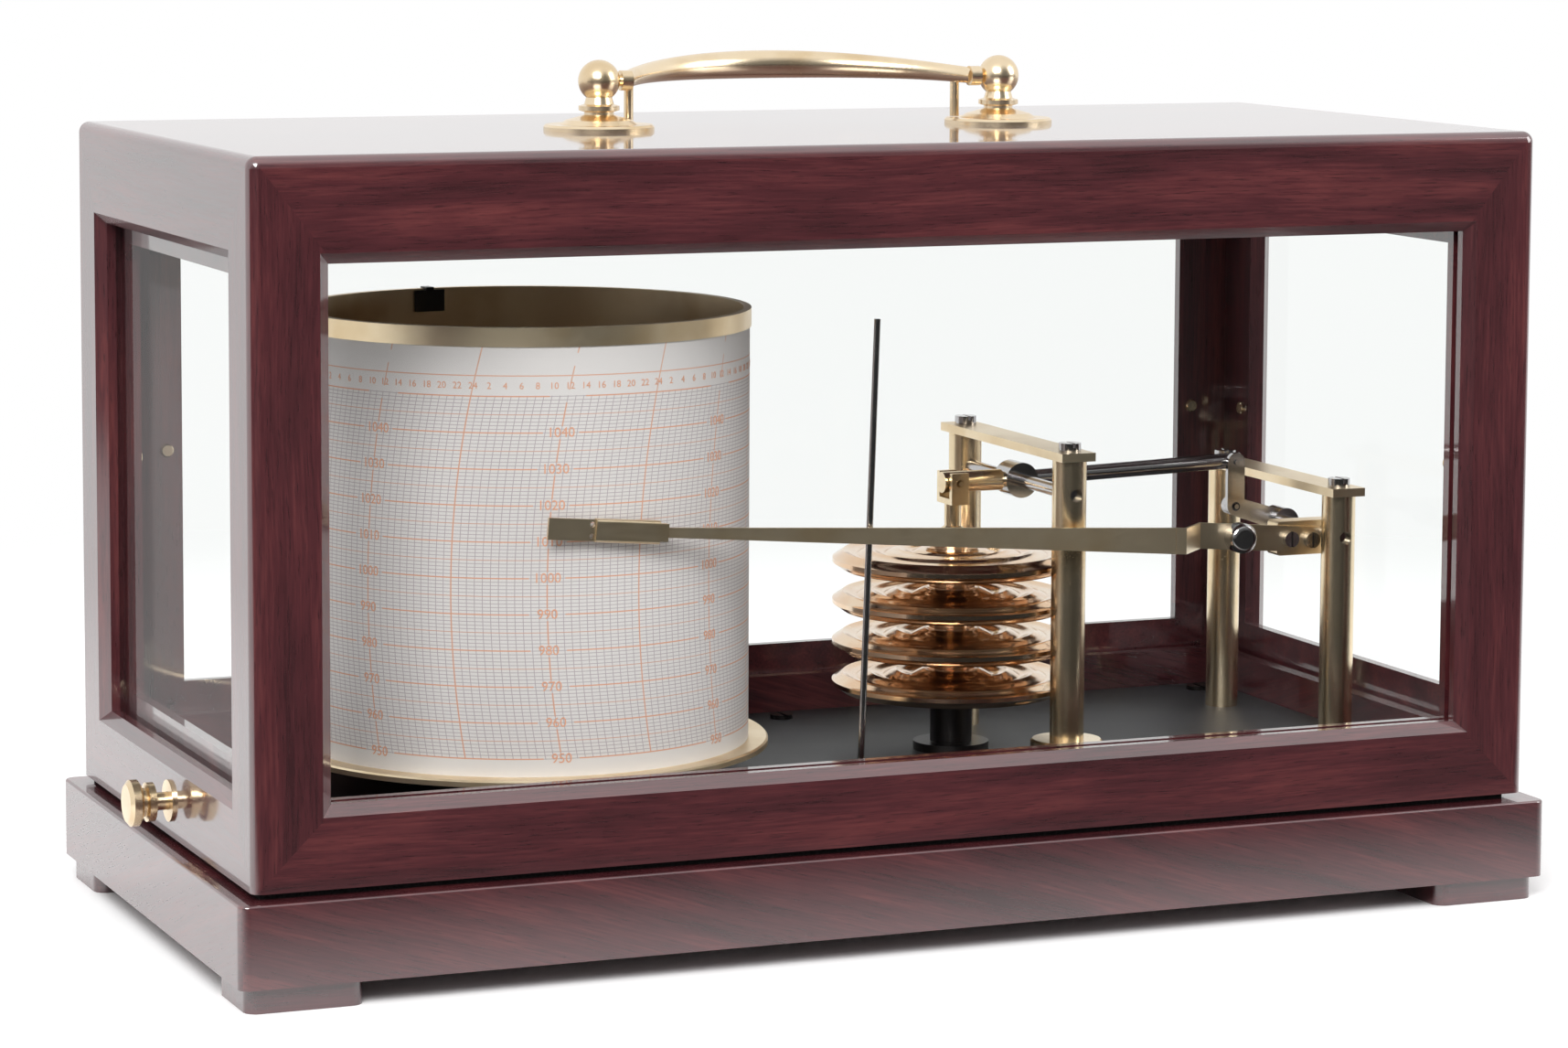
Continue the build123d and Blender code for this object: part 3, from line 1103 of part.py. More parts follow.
def all_parts():
    """Every sub-part by the name of its node."""
    parts = {
        "plinth": plinth(),
        "feet": feet(),
        "foot_screws": foot_screws(),
        "upstand_strips": upstand_strips(),
        "lock_keeper": lock_keeper(),
        "floor_plate": floor_plate(),
        "floor_screws": floor_screws(),
        "seal_strips": seal_strips(),
        "hinge_base_leaves": hinge_base_leaves(),
        "hinge_pins": hinge_pins(),
        "lever_posts": lever_posts(),
        "pen_posts": pen_posts(),
        "post_collar": post_collar(),
        "lever_bridge": bridge(LEVER_POST_X, LEVER_BRIDGE_TOP),
        "pen_bridge": bridge(PEN_POST_X, PEN_BRIDGE_TOP),
        "bridge_screws": bridge_screws(),
        "pivot_screws": pivot_screws(),
        "capsule_pedestal": capsule_pedestal(),
        "lifter_bracket": lifter_bracket(),
        "drum_spindle": drum_spindle(),
        "drum_nut": drum_nut(),
        "fixed_gear": fixed_gear(),
        "front_frame": wall_rails("front"),
        "rear_frame": wall_rails("rear"),
        "left_frame": left_frame(),
        "right_frame": wall_rails("right"),
        "top_panel": top_panel(),
        "long_panes": glass_panes(("front", "rear")),
        "end_panes": glass_panes(("left", "right")),
        "glazing_beads": glazing_beads(),
        "bead_screws": bead_screws(),
        "hinge_hood_leaves": hinge_hood_leaves(),
        "handle_pillars": handle_pillars(),
        "lock_escutcheon": lock_escutcheon(),
        "bail": bail(),
        "lock_knob": lock_knob(),
        "drum_shell": drum_shell(),
        "chart_paper": chart_paper(),
        "chart_clip": chart_clip(),
        "clock_housing": clock_housing(),
        "clock_pinion": clock_pinion(),
        "capsule_head": capsule_head(),
        "lever_shaft": lever_shaft(),
        "lever_rod": lever_rod(),
        "lever_sleeve": lever_sleeve(),
        "link_plate": link_plate(),
        "pen_shaft": cross_shaft(PEN_POST_X, PEN_AXIS_Z, PEN_SHAFT_RADIUS),
        "pen_crank": pen_crank(),
        "arm_bracket": arm_bracket(),
        "arm_screws": arm_screws(),
        "thumb_screw": thumb_screw(),
        "pen_arm_root": pen_arm_root(),
        "pen_arm": pen_arm(),
        "pen_holder": pen_holder(),
        "lifter_rod": lifter_rod(),
    }
    for index in range(CAPSULE_COUNT):
        parts["capsule_%d" % (index + 1)] = capsule(index)
    return parts


os.makedirs("parts", exist_ok=True)
for node, shape in all_parts().items():
    export_step(Pos(ORIGIN_SHIFT, 0, 0) * shape, os.path.join("parts", node + ".step"))
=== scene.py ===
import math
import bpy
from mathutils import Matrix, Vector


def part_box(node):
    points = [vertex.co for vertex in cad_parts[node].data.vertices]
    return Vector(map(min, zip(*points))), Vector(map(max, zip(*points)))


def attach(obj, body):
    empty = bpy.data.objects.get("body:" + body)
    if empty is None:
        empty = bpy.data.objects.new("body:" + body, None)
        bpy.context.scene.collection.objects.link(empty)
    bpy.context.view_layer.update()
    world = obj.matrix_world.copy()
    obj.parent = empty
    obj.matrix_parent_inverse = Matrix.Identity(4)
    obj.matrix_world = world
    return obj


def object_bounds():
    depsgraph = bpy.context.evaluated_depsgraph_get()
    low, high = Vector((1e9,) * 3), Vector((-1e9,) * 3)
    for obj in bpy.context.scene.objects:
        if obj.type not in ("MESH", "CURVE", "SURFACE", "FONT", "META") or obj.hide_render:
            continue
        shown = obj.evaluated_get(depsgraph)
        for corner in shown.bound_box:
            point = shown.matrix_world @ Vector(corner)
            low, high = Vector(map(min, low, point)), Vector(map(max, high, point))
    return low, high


bl_info = {
    "name": "Barograph",
    "version": (1, 0, 0),
    "blender": (4, 5, 0),
    "location": "3D View > Sidebar > Barograph",
    "description": "Finishes, chart print and studio for a barograph in a glazed mahogany case",
    "category": "Object",
}

import bmesh
import bpy
from bpy.props import FloatProperty, FloatVectorProperty, PointerProperty
from mathutils import Matrix, Vector

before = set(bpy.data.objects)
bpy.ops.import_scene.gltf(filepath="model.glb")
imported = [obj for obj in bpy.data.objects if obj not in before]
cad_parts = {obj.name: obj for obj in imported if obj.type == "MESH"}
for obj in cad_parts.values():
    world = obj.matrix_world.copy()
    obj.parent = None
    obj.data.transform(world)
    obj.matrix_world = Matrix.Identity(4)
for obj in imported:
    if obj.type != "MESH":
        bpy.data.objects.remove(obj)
cad_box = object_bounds()

# Wood: rails of the hood in metres, spots of noise to the metre along and across the grain
STILE = 0.0178
TOP_RAIL = 0.0228
BOTTOM_RAIL = 0.0178
WANDER_GRAIN = (9.0, 14.0)
FIGURE_GRAIN = (14.0, 130.0)
FIBRE_GRAIN = (70.0, 1500.0)
PORE_GRAIN = (210.0, 3300.0)
WANDER_REACH = 0.006
GRAIN_LEAN = 0.2
BOARD_LEAN = 0.3
PORE_DARKNESS = 0.55
PORE_DEPTH = 0.00006
LACQUER_IOR = 2.1

# Metal, paint, felt and glass: spacing and depth of the relief in metres
BRUSH_SPOTS = 2600.0
BRUSH_DEPTH = 0.00002
RING_SPACING = 0.0036
RING_DEPTH = 0.0004
PEEL_DEPTH = 0.00004
FELT_DEPTH = 0.0002
GLASS_IOR = 1.30
GLASS_GLOSS = 0.5

# Chart: CHART_SPACING is the height of one pressure unit, in metres, and the lines have their widths
CHART_SPACING = 0.0008
CHART_LOW_PRESSURE = 950
CHART_HIGH_PRESSURE = 1050
CHART_LOW_HEIGHT = 0.0451
ARC_CENTRE_HEIGHT = 0.0815
ARC_RADIUS = 0.205
PHASE_LIFT = 100.0 * CHART_SPACING
ONES_LINE = 0.00016
FIVES_LINE = 0.00022
TENS_LINE = 0.00030
HOUR_LINE = 0.00018
HALF_DAY_LINE = 0.00034
STUB_LINE = 0.00030
BORDER_LINE = 0.00026
NUMBER_GAP_WIDTH = 0.0040
NUMBER_GAP_HEIGHT = 0.0014
SEAM_GAP = 0.02
INK_LIFT = 0.00004
INK_DEPTH = 0.00002
PAPER_DEPTH = 0.00005

# Studio, in metres and watts
KEY_PLACE = (-0.75, -1.15, 1.05)
KEY_SIZE = (0.9, 0.7)
FILL_PLACE = (1.25, -0.75, 0.75)
FILL_SIZE = (0.7, 0.9)
FLOOR_REACH = 12.0
FLOOR_TONE = (0.96, 0.96, 0.96)
BOUNCE_TONE = (0.40, 0.40, 0.40)
DARK_MIRROR_TONE = (0.015, 0.015, 0.015)
FADE_START = 0.08
FADE_END = 0.40
MIRROR_NEAR = 0.04
MIRROR_FAR = 0.20
FRONT_DIMMING = 0.85

# Nodes by their finish
FRAME_NODES = ("front_frame", "rear_frame", "left_frame", "right_frame")
BRASS_NODES = ("lock_keeper", "hinge_base_leaves", "hinge_hood_leaves", "lever_posts", "pen_posts",
               "post_collar", "handle_pillars", "bail", "lock_knob", "lock_escutcheon", "bead_screws",
               "foot_screws", "fixed_gear", "clock_pinion", "capsule_head", "lever_sleeve", "lifter_bracket")
SHEET_BRASS_NODES = ("lever_bridge", "pen_bridge", "arm_bracket", "pen_arm", "pen_arm_root", "pen_holder")
DRUM_BRASS_NODES = ("drum_shell", "clock_housing", "drum_nut")
STEEL_NODES = ("hinge_pins", "bridge_screws", "pivot_screws", "lever_shaft", "lever_rod", "link_plate",
               "pen_shaft", "pen_crank", "arm_screws", "thumb_screw", "lifter_rod", "drum_spindle")
DARK_STEEL_NODES = ("floor_screws", "chart_clip", "capsule_pedestal")
CAPSULE_NODES = ("capsule_1", "capsule_2", "capsule_3", "capsule_4")


class Value:
    """A node's output, with the operators that join it to numbers and to other values."""

    def __init__(self, finish, socket):
        self.finish = finish
        self.socket = socket

    def __add__(self, other):
        return self.finish.math("ADD", self, other)

    __radd__ = __add__

    def __sub__(self, other):
        return self.finish.math("SUBTRACT", self, other)

    def __rsub__(self, other):
        return self.finish.math("SUBTRACT", other, self)

    def __mul__(self, other):
        return self.finish.math("MULTIPLY", self, other)

    __rmul__ = __mul__

    def __abs__(self):
        return self.finish.math("ABSOLUTE", self)

    def __lt__(self, other):
        return self.finish.math("LESS_THAN", self, other)

    def __gt__(self, other):
        return self.finish.math("GREATER_THAN", self, other)


class Finish:
    """A material and the calls that add its nodes."""

    def __init__(self, name, tree=None):
        if tree is None:
            self.material = bpy.data.materials.new(name)
            self.material.use_nodes = True
            tree = self.material.node_tree
            self.shader = tree.nodes["Principled BSDF"]
        self.tree = tree

    def node(self, kind, settings=None, inputs=None, output=0):
        """The value of one output of a node, whose settings are made first and whose sockets come after."""
        made = self.tree.nodes.new(kind)
        for name, value in (settings or {}).items():
            if name == "stops":
                self.set_stops(made.color_ramp, value)
            else:
                setattr(made, name, value)
        for name, value in (inputs or {}).items():
            self.feed(made.inputs[name], value)
        return Value(self, made.outputs[output])

    def feed(self, socket, value):
        if isinstance(value, Value):
            self.tree.links.new(value.socket, socket)
        else:
            socket.default_value = value

    def set_stops(self, ramp, stops):
        while len(ramp.elements) < len(stops):
            ramp.elements.new(0.5)
        for element, (place, colour) in zip(ramp.elements, stops):
            element.position = place
            element.color = (*colour, 1.0)

    def math(self, operation, *values):
        return self.node("ShaderNodeMath", {"operation": operation}, dict(enumerate(values)))

    def smooth(self, value, low, high):
        """0 below low and 1 above high, with a soft step between."""
        return self.node("ShaderNodeMapRange", {"interpolation_type": "SMOOTHSTEP"},
                         {"Value": value, "From Min": low, "From Max": high, "To Min": 0.0, "To Max": 1.0})

    def mix(self, factor, first, second):
        """Colour between two colours."""
        return self.node("ShaderNodeMix", {"data_type": "RGBA"}, {0: factor, 6: first, 7: second}, output=2)

    def ramp(self, factor, stops):
        return self.node("ShaderNodeValToRGB", {"stops": stops}, {"Fac": factor})

    def place(self):
        """The x, y and z of the point in the object's own space."""
        point = self.node("ShaderNodeTexCoord", output="Object")
        split = self.tree.nodes.new("ShaderNodeSeparateXYZ")
        self.feed(split.inputs[0], point)
        return [Value(self, socket) for socket in split.outputs]

    def vector(self, x, y, z):
        return self.node("ShaderNodeCombineXYZ", inputs={0: x, 1: y, 2: z})

    def noise(self, vector, detail, roughness=0.5):
        return self.node("ShaderNodeTexNoise", inputs={
            "Vector": vector, "Scale": 1.0, "Detail": detail, "Roughness": roughness})

    def speckle(self, place, spots, detail, roughness=0.5):
        """Noise of the same grain in every direction, with its spots to the metre."""
        return self.noise(self.vector(*[axis * spots for axis in place]), detail, roughness)

    def bump(self, height, strength, distance):
        return self.node("ShaderNodeBump",
                         inputs={"Strength": strength, "Distance": distance, "Height": height})

    def set(self, **values):
        """Fills the shader's sockets, whose names have their spaces as underscores."""
        for name, value in values.items():
            socket = self.shader.inputs[name.replace("_", " ")]
            if not isinstance(value, Value) and socket.type == "RGBA":
                value = (*value, 1.0)
            self.feed(socket, value)
        return self.material


def colour(values):
    return (values[0], values[1], values[2])


def opaque(values):
    return (values[0], values[1], values[2], 1.0)


def centre_of(node):
    low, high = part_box(node)
    return (low + high) / 2


def half_of(node):
    low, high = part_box(node)
    return (high - low) / 2


def toned(tone, shares):
    """A colour with each channel taken by its share."""
    return opaque([min(1.0, channel * share) for channel, share in zip(tone, shares)])


def grain(finish, place, spots, detail, roughness=0.5):
    """Noise drawn out along the first of three axes, with its spots to the metre along and across."""
    along, across, depth = place
    drawn = finish.vector(along * spots[0], across * spots[1], depth * spots[1])
    return finish.noise(drawn, detail, roughness)


def wood_layers(finish, along, across, depth, shades):
    """Lacquered mahogany: broad figure, fine fibre and short dark pores that all run with the grain."""
    across = across + grain(finish, (along, across, depth), WANDER_GRAIN, 2.0) * WANDER_REACH
    place = (along, across, depth)
    figure = grain(finish, place, FIGURE_GRAIN, 4.0, 0.62)
    fibre = grain(finish, place, FIBRE_GRAIN, 3.0, 0.6)
    pores = finish.smooth(grain(finish, place, PORE_GRAIN, 1.0), 0.60, 0.72)
    dark, middle, light = (colour(shade) for shade in shades)
    tone = figure * 0.65 + fibre * 0.35
    shade = finish.ramp(tone, [(0.30, dark), (0.50, middle), (0.72, light)])
    shade = finish.mix(pores * PORE_DARKNESS, shade, opaque(dark))
    relief = finish.bump(fibre * 0.4 - pores, 0.10, PORE_DEPTH)
    return finish.set(Base_Color=shade, Roughness=0.34 + fibre * 0.14, Normal=relief, Coat_Weight=1.0,
                      Coat_Roughness=0.06, Coat_IOR=LACQUER_IOR, Specular_IOR_Level=0.35)


def wall_wood(name, node, shades):
    """Grain along the rails and up the stiles of one wall, changing at the mitres."""
    finish = Finish(name)
    x, y, z = finish.place()
    low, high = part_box(node)
    centre, half = centre_of(node), half_of(node)
    long_wall = half.x > half.y
    depth = y if long_wall else x
    run = (x - centre.x) if long_wall else (y - centre.y)
    side = (half.x if long_wall else half.y) - abs(run)
    top = (high.z - z) * (STILE / TOP_RAIL)
    bottom = (z - low.z) * (STILE / BOTTOM_RAIL)
    upright = side < finish.math("MINIMUM", top, bottom)
    along = run + (z - run) * upright
    across = z + (run - z) * upright
    return wood_layers(finish, along, across + depth * GRAIN_LEAN, depth, shades)


def board_wood(name, node, shades, mitred):
    """Grain along X, or round the board with mitred corners."""
    finish = Finish(name)
    x, y, z = finish.place()
    if not mitred:
        return wood_layers(finish, x, y, z, shades)
    centre, half = centre_of(node), half_of(node)
    turned = (half.x - abs(x - centre.x)) < (half.y - abs(y - centre.y))
    along = x + (y - x) * turned
    across = z + (x + y) * BOARD_LEAN
    return wood_layers(finish, along, across, y + (x - y) * turned, shades)


def bead_wood(name, node, shades):
    """Dark strips: grain up the uprights and along the level ones."""
    finish = Finish(name)
    x, y, z = finish.place()
    centre, half = centre_of(node), half_of(node)
    level = abs(z - centre.z) > half.z - TOP_RAIL / 2
    run = x + y
    along = z + (run - z) * level
    across = run + (z - run) * level
    return wood_layers(finish, along, across, x - y, shades)


def brass_finish(name, tone, rough, brushing=(1.0, 1.0, 1.0)):
    """Lacquered brass with a soft brushed surface and faint clouding."""
    finish = Finish(name)
    place = finish.place()
    drawn = [axis * (BRUSH_SPOTS * share) for axis, share in zip(place, brushing)]
    brush = finish.noise(finish.vector(*drawn), 2.0)
    cloud = finish.speckle(place, 70.0, 3.0)
    shade = finish.mix(finish.smooth(cloud, 0.40, 0.75), opaque(tone), toned(tone, (0.86, 0.80, 0.70)))
    relief = finish.bump(brush, 0.10, BRUSH_DEPTH)
    return finish.set(Base_Color=shade, Metallic=1.0, Normal=relief,
                      Roughness=rough + brush * 0.10 + cloud * 0.05)


def capsule_finish(name, tone, rough):
    """Rolled coppery sheet with fine rings about the stack's axis."""
    finish = Finish(name)
    place = finish.place()
    centre = centre_of("capsule_1")
    across, back = place[0] - centre.x, place[1] - centre.y
    radius = finish.math("SQRT", across * across + back * back)
    rings = finish.math("SINE", radius * (2.0 * math.pi / RING_SPACING))
    cloud = finish.speckle(place, 90.0, 3.0)
    shade = finish.mix(finish.smooth(cloud, 0.35, 0.7), opaque(tone), toned(tone, (1.05, 1.18, 1.30)))
    relief = finish.bump(rings, 0.35, RING_DEPTH)
    return finish.set(Base_Color=shade, Metallic=1.0, Roughness=rough + cloud * 0.06, Normal=relief)


def steel_finish(name, tone, rough):
    """Polished steel with fine turning marks."""
    finish = Finish(name)
    marks = finish.speckle(finish.place(), 1800.0, 2.0)
    shade = finish.mix(marks, opaque(tone), toned(tone, (0.85, 0.85, 0.86)))
    return finish.set(Base_Color=shade, Metallic=1.0, Roughness=rough + marks * 0.08)


def floor_paint(name, tone):
    """Satin black paint with a faint orange peel."""
    finish = Finish(name)
    place = finish.place()
    peel = finish.speckle(place, 900.0, 2.0)
    dust = finish.speckle(place, 40.0, 4.0)
    shade = finish.mix(finish.smooth(dust, 0.45, 0.75), opaque(tone), toned(tone, (1.7, 1.7, 1.8)))
    return finish.set(Base_Color=shade, Roughness=0.42 + dust * 0.12,
                      Normal=finish.bump(peel, 0.15, PEEL_DEPTH))


def felt_finish(name):
    """Felt seal, painted near black as the shadow line in the gap under the hood: matt, with short fibres."""
    finish = Finish(name)
    fibres = finish.speckle(finish.place(), 1400.0, 4.0, 0.7)
    # Near-black felt: painted shade for the shadow line in the gap between hood and plinth
    shade = finish.ramp(fibres, [(0.3, (0.004, 0.004, 0.004)), (0.7, (0.022, 0.020, 0.021))])
    return finish.set(Base_Color=shade, Roughness=0.95, Specular_IOR_Level=0.1,
                      Normal=finish.bump(fibres, 0.5, FELT_DEPTH))


def glass_finish(name):
    """Thin clear glass: see-through, with a mirror gloss on its near face that grows at a grazing look."""
    finish = Finish(name)
    output = finish.tree.nodes["Material Output"]
    finish.tree.nodes.remove(finish.shader)
    clear = finish.node("ShaderNodeBsdfTransparent", inputs={"Color": (0.985, 0.990, 0.987, 1.0)})
    gloss = finish.node("ShaderNodeBsdfGlossy", inputs={"Color": (1.0, 1.0, 1.0, 1.0), "Roughness": 0.01})
    shine = finish.node("ShaderNodeFresnel", inputs={"IOR": GLASS_IOR})
    inside = finish.node("ShaderNodeNewGeometry", output="Backfacing")
    mirror = shine * GLASS_GLOSS * (1.0 - inside)
    both = finish.node("ShaderNodeMixShader", inputs={0: mirror, 1: clear, 2: gloss})
    finish.feed(output.inputs["Surface"], both)
    return finish.material


def chart_seam():
    """Angle of the clip that holds the ends of the paper."""
    offset = centre_of("chart_clip") - centre_of("chart_paper")
    return math.atan2(offset.y, offset.x)


def noon_angle(look):
    """Angle from the seam to the column of numbers that faces the viewer."""
    return (math.radians(look.noon) - chart_seam()) % (2.0 * math.pi)


def chart_angle(finish, x, y):
    """Angle round the drum from the paper's seam, from 0 to a full turn."""
    centre = centre_of("chart_paper")
    angle = finish.math("ARCTAN2", y - centre.y, x - centre.x)
    return finish.math("MODULO", angle - chart_seam() + 4.0 * math.pi, 2.0 * math.pi)


def line_mask(finish, value, spacing, width):
    """1 on lines at every multiple of spacing, with soft edges."""
    phase = finish.math("PINGPONG", value, spacing / 2)
    return 1.0 - finish.smooth(phase, width * 0.35, width * 0.65)


def chart_lines(finish, x, y, z, look):
    """Masks of the fine lines, of the lines for each five, and of the heavy lines, with gaps for numbers."""
    radius = half_of("chart_paper").x
    hour = look.day_angle / 24.0
    rise = z - ARC_CENTRE_HEIGHT
    time = chart_angle(finish, x, y) - rise * rise * (0.5 / (ARC_RADIUS * radius)) - noon_angle(look)
    time = time + 24.0 * look.day_angle
    low = z - CHART_LOW_HEIGHT
    lifted = low + PHASE_LIFT
    top = (CHART_HIGH_PRESSURE - CHART_LOW_PRESSURE) * CHART_SPACING
    inside = (low > -CHART_SPACING * 0.2) * (low < top + CHART_SPACING * 0.2)
    ones = line_mask(finish, lifted, CHART_SPACING, ONES_LINE)
    fives = line_mask(finish, lifted, 5.0 * CHART_SPACING, FIVES_LINE)
    tens = line_mask(finish, lifted, 10.0 * CHART_SPACING, TENS_LINE)
    hours = line_mask(finish, time * radius, hour * radius, HOUR_LINE)
    halves = line_mask(finish, time * radius, 12.0 * hour * radius, HALF_DAY_LINE)
    stub = line_mask(finish, time * radius, 12.0 * hour * radius, STUB_LINE) * (low > top)
    border = line_mask(finish, low - top - look.border, 1.0, BORDER_LINE)
    beside = finish.math("PINGPONG", time, look.day_angle / 2) < NUMBER_GAP_WIDTH / radius
    above = finish.math("PINGPONG", lifted, 5.0 * CHART_SPACING) < NUMBER_GAP_HEIGHT
    clear = 1.0 - beside * above
    fine = finish.math("MAXIMUM", ones, hours) * inside
    heavy = finish.math("MAXIMUM", finish.math("MAXIMUM", tens, halves) * inside,
                        finish.math("MAXIMUM", border, stub))
    return fine, fives * inside * clear, heavy * clear


def chart_finish(name, look):
    """Printed paper with a slight fibre: pressure lines and hour arcs."""
    finish = Finish(name)
    place = finish.place()
    fine, fives, heavy = chart_lines(finish, *place, look)
    fibre = finish.speckle(place, 900.0, 4.0, 0.6)
    tone = finish.speckle(place, 25.0, 2.0)
    aged = toned(look.paper, (0.965, 0.965, 0.965))
    paper = finish.mix(finish.smooth(tone, 0.35, 0.7), opaque(look.paper), aged)
    paper = finish.mix(fibre * 0.08, paper, (0.55, 0.52, 0.50, 1.0))
    shade = finish.mix(fine * 0.70, paper, opaque(look.fine_ink))
    shade = finish.mix(fives * 0.55, shade, opaque(look.ink))
    shade = finish.mix(heavy * 0.80, shade, opaque(look.ink))
    return finish.set(Base_Color=shade, Roughness=0.78, Specular_IOR_Level=0.25,
                      Normal=finish.bump(fibre, 0.12, PAPER_DEPTH))


def ink_finish(name, tone, rough):
    """Printing ink with a slight mottle."""
    finish = Finish(name)
    mottle = finish.speckle(finish.place(), 1500.0, 2.0)
    shade = finish.mix(mottle, opaque(tone), toned(tone, (1.15, 1.15, 1.15)))
    return finish.set(Base_Color=shade, Roughness=rough)


def dress(node, material):
    """Gives a CAD node one material."""
    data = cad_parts[node].data
    data.materials.clear()
    data.materials.append(material)


def new_piece(name, mesh, material, body):
    """A piece at the origin that rides on a body."""
    piece = bpy.data.objects.new(name, mesh)
    bpy.context.scene.collection.objects.link(piece)
    mesh.materials.clear()
    mesh.materials.append(material)
    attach(piece, body)
    return piece


def flat_text(words, height):
    """Mesh of some digits, centred, lying in the XY plane."""
    curve = bpy.data.curves.new("digits", "FONT")
    curve.body = words
    curve.align_x = "CENTER"
    curve.align_y = "CENTER"
    curve.size = height
    curve.resolution_u = 3
    curve.extrude = INK_DEPTH
    holder = bpy.data.objects.new("digits", curve)
    bpy.context.scene.collection.objects.link(holder)
    bpy.context.view_layer.update()
    mesh = bpy.data.meshes.new_from_object(holder.evaluated_get(bpy.context.evaluated_depsgraph_get()))
    bpy.data.objects.remove(holder)
    return mesh


def wrap_on_drum(target, flat, angle, height, radius, centre):
    """Adds a copy of a flat mesh to target, wrapped round the drum at an angle and a height."""
    before = len(target.verts)
    target.from_mesh(flat)
    target.verts.ensure_lookup_table()
    for vert in target.verts[before:]:
        around = angle + vert.co.x / radius
        out = radius + INK_LIFT + vert.co.z
        vert.co = Vector((centre.x + out * math.cos(around), centre.y + out * math.sin(around),
                          height + vert.co.y))


def arc_offset(height, radius):
    """How far an hour arc leans at a height, as an angle round the drum."""
    return (height - ARC_CENTRE_HEIGHT) ** 2 / (2 * ARC_RADIUS * radius)


class ChartLook(bpy.types.PropertyGroup):
    """Print of the paper chart"""
    paper: FloatVectorProperty(name="Paper", description="Colour of the paper", subtype="COLOR",
                               default=(0.62, 0.59, 0.58))
    ink: FloatVectorProperty(name="Ink", description="Colour of the heavy lines and the numbers",
                             subtype="COLOR", default=(0.60, 0.30, 0.19))
    fine_ink: FloatVectorProperty(name="Fine ink", description="Colour of the fine lines", subtype="COLOR",
                                  default=(0.28, 0.23, 0.25))
    day_angle: FloatProperty(name="Day", description="Turn of the drum in one day", subtype="ANGLE",
                             default=math.radians(47.2))
    noon: FloatProperty(name="Noon", description="Direction of the column of numbers in front, in degrees",
                        default=-103.6)
    border: FloatProperty(name="Border", description="Height of the strip for the hours", unit="LENGTH",
                          default=0.0045)
    number_height: FloatProperty(name="Numbers", description="Size of the pressure numbers", unit="LENGTH",
                                 default=0.0031)
    hour_height: FloatProperty(name="Hours", description="Size of the hour numbers", unit="LENGTH",
                               default=0.0021)


class WoodLook(bpy.types.PropertyGroup):
    """Shades of the lacquered wood"""
    dark: FloatVectorProperty(name="Dark", description="Darkest streaks", subtype="COLOR",
                              default=(0.024, 0.0045, 0.0065))
    middle: FloatVectorProperty(name="Middle", description="Main shade", subtype="COLOR",
                                default=(0.070, 0.0125, 0.0165))
    light: FloatVectorProperty(name="Light", description="Lightest streaks", subtype="COLOR",
                               default=(0.150, 0.032, 0.032))


class MetalLook(bpy.types.PropertyGroup):
    """Shades of the metals"""
    brass: FloatVectorProperty(name="Brass", description="Turned brass", subtype="COLOR",
                               default=(0.86, 0.71, 0.50))
    capsule: FloatVectorProperty(name="Capsules", description="Rolled coppery sheet", subtype="COLOR",
                                 default=(0.80, 0.56, 0.38))
    steel: FloatVectorProperty(name="Steel", description="Polished steel", subtype="COLOR",
                               default=(0.56, 0.54, 0.54))
    dark_steel: FloatVectorProperty(name="Dark steel", description="Blackened steel", subtype="COLOR",
                                    default=(0.05, 0.045, 0.045))
    black: FloatVectorProperty(name="Black", description="Painted floor plate", subtype="COLOR",
                               default=(0.012, 0.012, 0.014))


class StageLook(bpy.types.PropertyGroup):
    """Camera and lamps"""
    yaw: FloatProperty(name="Yaw", description="Turn of the camera from straight ahead, in degrees",
                       default=22.55)
    pitch: FloatProperty(name="Pitch", description="Look down, in degrees", default=6.06)
    roll: FloatProperty(name="Roll", description="Tilt of the picture, in degrees", default=0.28)
    lens: FloatProperty(name="Lens", description="Focal length in millimetres for a 36 mm wide picture",
                        default=108.2)
    shift: FloatProperty(name="Shift", description="Vertical shift of the picture, as a share of its width",
                         default=-0.1009)
    place: FloatVectorProperty(name="Place", description="Camera position", subtype="TRANSLATION",
                               unit="LENGTH", default=(-0.4209, -1.0107, 0.2402))
    key: FloatProperty(name="Key", description="Power of the large lamp in front, in watts", default=26.0)
    fill: FloatProperty(name="Fill", description="Power of the lamp on the right, in watts", default=9.0)


class BAROGRAPH_OT_case(bpy.types.Operator):
    """Lacquer the wooden case, plinth and feet"""
    bl_idname = "barograph.case"
    bl_label = "Case"

    def execute(self, context):
        look = context.scene.barograph_wood
        shades = (look.dark, look.middle, look.light)
        for node in FRAME_NODES:
            dress(node, wall_wood("mahogany_" + node, node, shades))
        dress("top_panel", board_wood("mahogany_top", "top_panel", shades, mitred=False))
        dress("plinth", board_wood("mahogany_plinth", "plinth", shades, mitred=True))
        dress("feet", board_wood("mahogany_feet", "feet", shades, mitred=False))
        dress("upstand_strips", board_wood("mahogany_upstand", "upstand_strips", shades, mitred=True))
        dress("glazing_beads", bead_wood("mahogany_beads", "glazing_beads", shades))
        # The seal strips get near-black felt, painted shade for the shadow line under the hood
        dress("seal_strips", felt_finish("black_felt_and_painted_shade"))
        return {"FINISHED"}


class BAROGRAPH_OT_glass(bpy.types.Operator):
    """Glaze the four windows"""
    bl_idname = "barograph.glass"
    bl_label = "Glass"

    def execute(self, context):
        clear = glass_finish("clear_glass")
        dress("long_panes", clear)
        dress("end_panes", clear)
        return {"FINISHED"}


